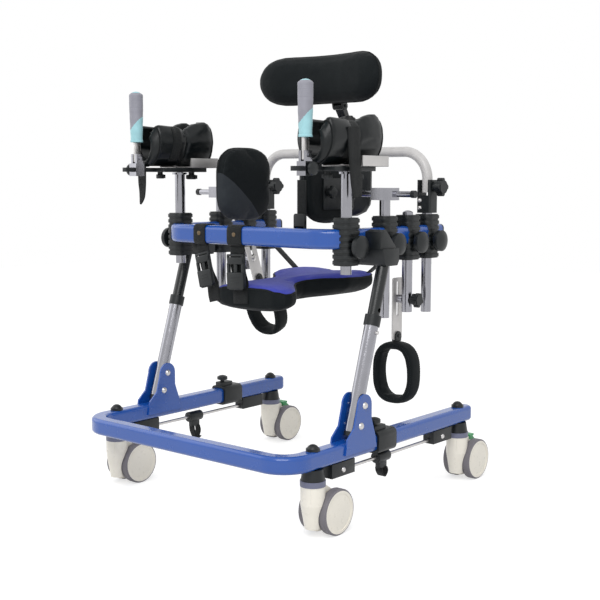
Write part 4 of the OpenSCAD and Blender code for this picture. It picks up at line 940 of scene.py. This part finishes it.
class GAIT_OT_trunk(bpy.types.Operator):
    """Makes the trunk pads with their piping, the band on one and the chest strap on the other"""

    bl_idname = "gait.trunk"
    bl_label = "Trunk pads"

    def execute(self, context):
        sizes = context.scene.gait_sizes
        for end, side in SIDES.items():
            node = body = "trunk_pad_" + end
            shell = shells(node)[0]
            low, high = shell[0], shell[1]
            outer = side * max(abs(low[0]), abs(high[0]))
            mesh = pad_mesh("trunk_cushion_" + end, shell, sizes, backed(0, outer, side))
            depth = side * (outer - coords(mesh)[:, 0])
            seam = [seam_at(mesh, depth - TRUNK_SEAM)]
            rows = [seam_at(mesh, depth - TRUNK_ROW, ROW_STEP)]
            mesh.materials.append(MATERIALS["black_spacer_knit"])
            made = place_piece("trunk_cushion_" + end, mesh, body, [node])
            trim("trunk_" + end, body, "black_cover", sizes, seam, rows)
            hardware(node)
            if side < 0:
                self.face_band(mesh, low, high, body)
            else:
                self.chest_strap(node, body, sizes)
        return {"FINISHED"}

    def face_band(self, mesh, low, high, body):
        """Cloth over the lower front corner of the pad's inner face, up to a slanting hem."""
        along = Vector((0, 0.77, -0.638))
        upper = Vector((0, low[1] + 0.09 * (high[1] - low[1]), low[2] + 0.58 * (high[2] - low[2])))
        down = Vector((1, 0, 0)).cross(along)
        down *= -1 if down.z > 0 else 1
        front = Vector((high[0] - 0.026, 0, 0))
        planes = [(upper, down), (front, Vector((1, 0, 0)))]
        sash("trunk_band_l", mesh, planes, "charcoal_twill", body)

    def chest_strap(self, node, body, sizes):
        """Free half of the chest strap, with its buckle."""
        thin, block = sorted(shells(node), key=lambda s: s[1][1] - s[0][1])[:2]
        x, y = ((thin[0] + thin[1]) / 2)[:2]
        top, low = thin[1][2], thin[0][2]
        line = curve_through([(x, y, top), (x, y - 0.0004, (top + low) / 2), (x, y, low)])
        ribbon("chest_strap", line, (1, 0, 0), thin[1][0] - thin[0][0], sizes.webbing, body)
        buckle("chest_buckle", (block[0] + block[1]) / 2, block[1] - block[0], 0, body)


class GAIT_OT_forearms(bpy.types.Operator):
    """Makes the forearm troughs with their seams and straps"""

    bl_idname = "gait.forearms"
    bl_label = "Forearm pads"

    def execute(self, context):
        sizes = context.scene.gait_sizes
        for end, side in SIDES.items():
            node, body = "forearm_pad_" + end, "tray_" + end
            parts = shells(node)
            low, high = parts[0][0], parts[0][1]
            held = low[2] + 0.03
            mesh = pad_mesh(
                "forearm_cushion_" + end, parts[0], sizes,
                lambda p: np.clip(1 - (p[:, 2] - held) / 0.02, 0, 1), 0.0035,
            )
            waist = low[1] + WAIST_SHARE * (high[1] - low[1])
            press(mesh, coords(mesh)[:, 1] - waist, 0.004, 0.006)
            co = coords(mesh)
            ends, beside = (low[1] + 0.012, high[1] - 0.014), (waist - 0.004, waist + 0.004)
            seams = [seam_at(mesh, co[:, 1] - y) for y in ends]
            rows = [seam_at(mesh, co[:, 1] - y, ROW_STEP) for y in beside]
            mesh.materials.append(MATERIALS["black_vinyl"])
            made = place_piece("forearm_cushion_" + end, mesh, body, [node])
            trim("forearm_" + end, body, "black_cover", sizes, seams, rows)
            self.strap(end, side, mesh, parts[1], body, sizes)
        return {"FINISHED"}

    def strap(self, end, side, mesh, tail, body, sizes):
        """Strap across the trough, and its loose tail."""
        low, high = tail[0], tail[1]
        thick = sizes.webbing
        x, y = (low[0] + high[0]) / 2, (low[1] + high[1]) / 2
        if side > 0:
            line = [(x, y - 0.006, high[2]), (x, y, (low[2] + high[2]) / 2), (x, y + 0.01, low[2])]
            width, at = high[1] - low[1], y
            ribbon(
                "forearm_tail_r", curve_through(line), (0, 1, 0), width, thick, body,
                taper=((0, 1), (0.8, 0.95), (1, 0.75)),
            )
        else:
            drop = high[2] - low[2]
            line = [
                (x - 0.002, y, high[2]),
                (x + 0.002, y - 0.003, high[2] - 0.4 * drop),
                (x + 0.003, y - 0.004, high[2] - 0.75 * drop),
                (x - 0.006, y - 0.002, low[2]),
            ]
            ribbon(
                "forearm_tail_l", curve_through(line), (1, 0, 0), 0.03, thick, body,
                taper=((0, 1), (0.45, 0.9), (0.8, 0.62), (0.95, 0.3), (1, 0.12)),
            )
            width, at = 0.028, y + 0.05
        loop = seam_at(mesh, coords(mesh)[:, 1] - at, rounds=6)[0]
        middle = (loop.min(0) + loop.max(0)) / 2
        floor = loop[:, 2].min() + 0.022
        # the strap lies on the pad all round, apart from its underside
        ahead = np.roll(loop, -1, 0) - np.roll(loop, 1, 0)
        out = np.stack([ahead[:, 2], np.zeros(len(loop)), -ahead[:, 0]], 1)
        out /= np.linalg.norm(out, axis=1, keepdims=True)
        probe = Vector(loop[0] + out[0] * 0.004)
        near = surface_of(mesh).find_nearest(probe)
        outward = 1 if (probe - near[0]).dot(near[1]) > 0 else -1
        lifted = loop + out * outward * (thick * 0.35)
        ring = np.vstack([lifted, lifted])
        under = (ring[:, 2] < floor) & (np.abs(ring[:, 0] - middle[0]) < 0.03)
        starts = [i for i in range(len(loop)) if under[i] and not under[i + 1]]
        runs = []
        for i in starts:
            j = i + 1
            while not under[j] and j < i + len(loop):
                j += 1
            runs.append(ring[i + 1 : j])
        line = even_line(max(runs, key=len), 0.004, False, 2)
        ribbon("forearm_strap_" + end, line, (0, 1, 0), width, thick, body)


class GAIT_OT_seat(bpy.types.Operator):
    """Makes the saddle seat with its top panel, piping and straps"""

    bl_idname = "gait.seat"
    bl_label = "Seat"

    def execute(self, context):
        sizes = context.scene.gait_sizes
        shell = shells("seat")[0]
        mesh = pad_mesh("seat_cushion", shell, sizes, free)
        mesh.materials.append(MATERIALS["violet_coated_cloth"])
        mesh.materials.append(MATERIALS["black_spacer_knit"])
        up = coords(mesh, "normal")[:, 2]
        for _ in range(6):
            up = self.blur(mesh, up)
        value = up - 0.5
        corner = [np.mean([value[v] for v in f.vertices]) for f in mesh.polygons]
        mesh.polygons.foreach_set("material_index", [int(v < 0) for v in corner])
        seam = [seam_at(mesh, value, rounds=6)]
        made = place_piece("seat_cushion", mesh, "frame", ["seat"])
        trim("seat", "frame", "seat_cover", sizes, seam)
        self.straps(mesh, sizes)
        return {"FINISHED"}

    def blur(self, mesh, value):
        """Each vertex's value averaged with its neighbours'."""
        total, count = value.copy(), np.ones(len(value))
        edges = np.zeros(len(mesh.edges) * 2, int)
        mesh.edges.foreach_get("vertices", edges)
        for a, b in (edges.reshape(-1, 2).T, edges.reshape(-1, 2)[:, ::-1].T):
            np.add.at(total, a, value[b])
            np.add.at(count, a, 1)
        return total / count

    def straps(self, seat, sizes):
        """Webbing round the front bar and down to the seat, with buckles, and plain webs at the rear."""
        parts = [(s[0], s[1], s[1] - s[0], s[2]) for s in shells("seat_straps")]
        thick = sizes.webbing
        rail_low, rail_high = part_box("upper_frame")
        mid_y, mid_z = rail_low.y + 0.019, (rail_low.z + rail_high.z) / 2
        tree = surface_of(seat)
        blocks = [p for p in parts if p[2][1] < 0.02]
        bands = sorted((p for p in parts if p[2][1] > 0.03), key=lambda p: p[0][0])
        for i, (low, high, size, points) in enumerate(bands):
            ends = [points[points[:, 2] > high[2] - 0.004][:, 0], points[points[:, 2] < low[2] + 0.001][:, 0]]
            x, foot = ((e.min() + e.max()) / 2 for e in ends)
            width = ends[1].max() - ends[1].min()
            half_y, half_z, bend = (size[1] - thick) / 2, high[2] - thick / 2 - mid_z, 0.011
            loop = []
            for k, (sy, sz) in enumerate(((1, 1), (-1, 1), (-1, -1), (1, -1))):
                y, z = mid_y + sy * (half_y - bend), mid_z + sz * (half_z - bend)
                for a in np.linspace(0, pi / 2, 9) + k * pi / 2:
                    loop.append((x, y + bend * cos(a), z + bend * sin(a)))
            ribbon(
                f"seat_strap_loop_{i}", even_line(loop, 0.003, True, 0), (1, 0, 0), width, thick, "frame",
                True, ["seat_straps"],
            )
            stud(f"seat_snap_{i}", (x, mid_y - half_y - thick / 2, mid_z + 0.003), 0.0055, "frame")
            near = min(blocks, key=lambda p: abs((p[0][0] + p[1][0]) / 2 - (x + foot) / 2))
            web, top = near[1][1] + 0.0003 + thick / 2, mid_z - half_z
            line = []
            for t in np.linspace(0, 1, 24):
                at = np.array([x + (foot - x) * t, web, top + (low[2] - top) * t])
                hits = [
                    tree.ray_cast(Vector((at[0] + d * width, web - 0.1, at[2])), Vector((0, 1, 0)))[0]
                    for d in (-0.45, 0, 0.45)
                ]
                on = [h.y - 0.7 * thick for h in hits if h]
                at[1] = min(min(on), web + 0.012) if on else web
                line.append(at)
            line = even_line(line, 0.004, False, 8)
            ribbon(f"seat_strap_tail_{i}", line, (1, 0, 0), width, thick, "frame")
            lean = atan2(x - foot, top - low[2])
            size = (width + 0.008, near[2][1], 0.084)
            buckle(f"seat_buckle_{i}", (near[0] + near[1]) / 2, size, lean, "frame")
        for low, high, size, _ in parts:
            if 0.02 < size[1] < 0.03:
                side = 1 if low[0] > 0 else -1
                inner, outer = sorted((abs(low[0]), abs(high[0])))
                y = (low[1] + high[1]) / 2
                line = [(side * inner, y, low[2] + thick / 2), (side * outer, y, high[2] - thick / 2)]
                name = "rear_strap_" + ("r" if side > 0 else "l")
                ribbon(name, curve_through(line), (0, 1, 0), size[1], thick, "frame")


class GAIT_OT_cuffs(bpy.types.Operator):
    """Makes the padded thigh loops with their bound edges and closing bands"""

    bl_idname = "gait.cuffs"
    bl_label = "Thigh cuffs"

    def execute(self, context):
        sizes = context.scene.gait_sizes
        for end, side in SIDES.items():
            node = body = "cuff_loop_" + end
            shell = shells(node)[0]
            mesh = pad_mesh("thigh_cushion_" + end, shell, sizes, free, 0.003)
            co = coords(mesh)
            middle = (co.min(0) + co.max(0)) / 2
            tilt = radians(CUFF_TILT) if side < 0 else 0
            wide = (co[:, 1] - middle[1]) * cos(tilt) + (co[:, 2] - middle[2]) * sin(tilt)
            seams = []
            for edge in (-CUFF_ROW, CUFF_ROW):
                seams += [(even_line(line, SEAM_STEP), True) for line in lines_at(mesh, wide - edge)[:2]]
            mesh.materials.append(MATERIALS["black_spacer_knit"])
            made = place_piece("thigh_cushion_" + end, mesh, body, [node])
            trim("thigh_" + end, body, "black_cover", sizes, (), seams)
            hardware(node)
        return {"FINISHED"}


class GAIT_OT_stage(bpy.types.Operator):
    """Sets the floor, the light and the camera as in the photograph"""

    bl_idname = "gait.stage"
    bl_label = "Stage"

    def execute(self, context):
        scene = context.scene
        scene.view_settings.view_transform = "Standard"
        corners = [(-6, -6, 0), (6, -6, 0), (6, 6, 0), (-6, 6, 0)]
        floor = scratch("floor", mesh_from("floor", corners, [(0, 1, 2, 3)], []))
        floor.data.materials.append(self.floor_material())
        self.world(scene)
        for name, spot, size, power in (
            ("key", (1.4, -2.2, 2.6), 2.0, 54),
            ("fill", (-2.4, -1.2, 1.8), 2.4, 18),
        ):
            lamp = bpy.data.lights.new(name, "AREA")
            lamp.size, lamp.energy = size, power
            made = bpy.data.objects.new(name, lamp)
            made.location = spot
            made.rotation_euler = (Vector((0, 0, 0.5)) - Vector(spot)).to_track_quat("-Z", "Y").to_euler()
            scene.collection.objects.link(made)
        camera = bpy.data.objects.new("camera", bpy.data.cameras.new("camera"))
        turn, pitch = radians(CAMERA_TURN), radians(CAMERA_PITCH)
        camera.location = CAMERA_PLACE
        ahead = Vector((-sin(turn) * cos(pitch), cos(turn) * cos(pitch), -sin(pitch)))
        camera.rotation_euler = ahead.to_track_quat("-Z", "Y").to_euler()
        camera.data.sensor_width, camera.data.lens = 36, CAMERA_LENS
        scene.collection.objects.link(camera)
        scene.camera = camera
        return {"FINISHED"}

    def seen(self, tree):
        """1 for rays from the camera, a mirror or a clear surface, and 0 for light."""
        path = add(tree, "ShaderNodeLightPath").outputs
        first = combine(tree, "MAXIMUM", path["Is Camera Ray"], path["Is Glossy Ray"])
        return combine(tree, "MAXIMUM", first, path["Is Transmission Ray"])

    def floor_material(self):
        """Pale studio floor that stays white and keeps the object's shadow."""
        made = bpy.data.materials.new("pale_studio_floor")
        made.use_nodes = True
        tree = made.node_tree
        surface = tree.nodes["Principled BSDF"]
        give(surface, {"Base Color": (0.6, 0.6, 0.6, 1), "Roughness": 0.9, "Emission Color": (1, 1, 1, 1)})
        glow = combine(tree, "MULTIPLY", self.seen(tree), 0.62)
        tree.links.new(glow, surface.inputs["Emission Strength"])
        return made

    def world(self, scene):
        """White surroundings, dimmer as a light than as they are seen."""
        world = bpy.data.worlds.new("studio")
        world.use_nodes = True
        scene.world = world
        tree = world.node_tree
        back = tree.nodes["Background"]
        give(back, {"Color": (1, 1, 1, 1)})
        level = add(tree, "ShaderNodeMapRange", {"To Min": 0.66, "To Max": 1.0}, {"Value": self.seen(tree)})
        tree.links.new(level.outputs["Result"], back.inputs["Strength"])


OPERATORS = (
    GAIT_OT_materials,
    GAIT_OT_frame,
    GAIT_OT_casters,
    GAIT_OT_posts,
    GAIT_OT_grips,
    GAIT_OT_headrest,
    GAIT_OT_back,
    GAIT_OT_trunk,
    GAIT_OT_forearms,
    GAIT_OT_seat,
    GAIT_OT_cuffs,
    GAIT_OT_stage,
)


class GAIT_PT_looks(bpy.types.Panel):
    """Lists the steps that make the trainer's looks"""

    bl_idname = "GAIT_PT_looks"
    bl_label = "Gait trainer"
    bl_space_type = "VIEW_3D"
    bl_region_type = "UI"
    bl_category = "Gait trainer"

    def draw(self, context):
        for group in (context.scene.gait_colours, context.scene.gait_sizes):
            for key in group.__annotations__:
                self.layout.prop(group, key)
        for step in OPERATORS:
            self.layout.operator(step.bl_idname)


CLASSES = (GaitColours, GaitSizes, *OPERATORS, GAIT_PT_looks)


def register():
    for c in CLASSES:
        bpy.utils.register_class(c)
    bpy.types.Scene.gait_colours = bpy.props.PointerProperty(type=GaitColours)
    bpy.types.Scene.gait_sizes = bpy.props.PointerProperty(type=GaitSizes)


def unregister():
    del bpy.types.Scene.gait_sizes, bpy.types.Scene.gait_colours
    for c in reversed(CLASSES):
        bpy.utils.unregister_class(c)


def main():
    register()
    for step in OPERATORS:
        group, call = step.bl_idname.split(".")
        getattr(getattr(bpy.ops, group), call)()


if __name__ == "__main__":
    main()
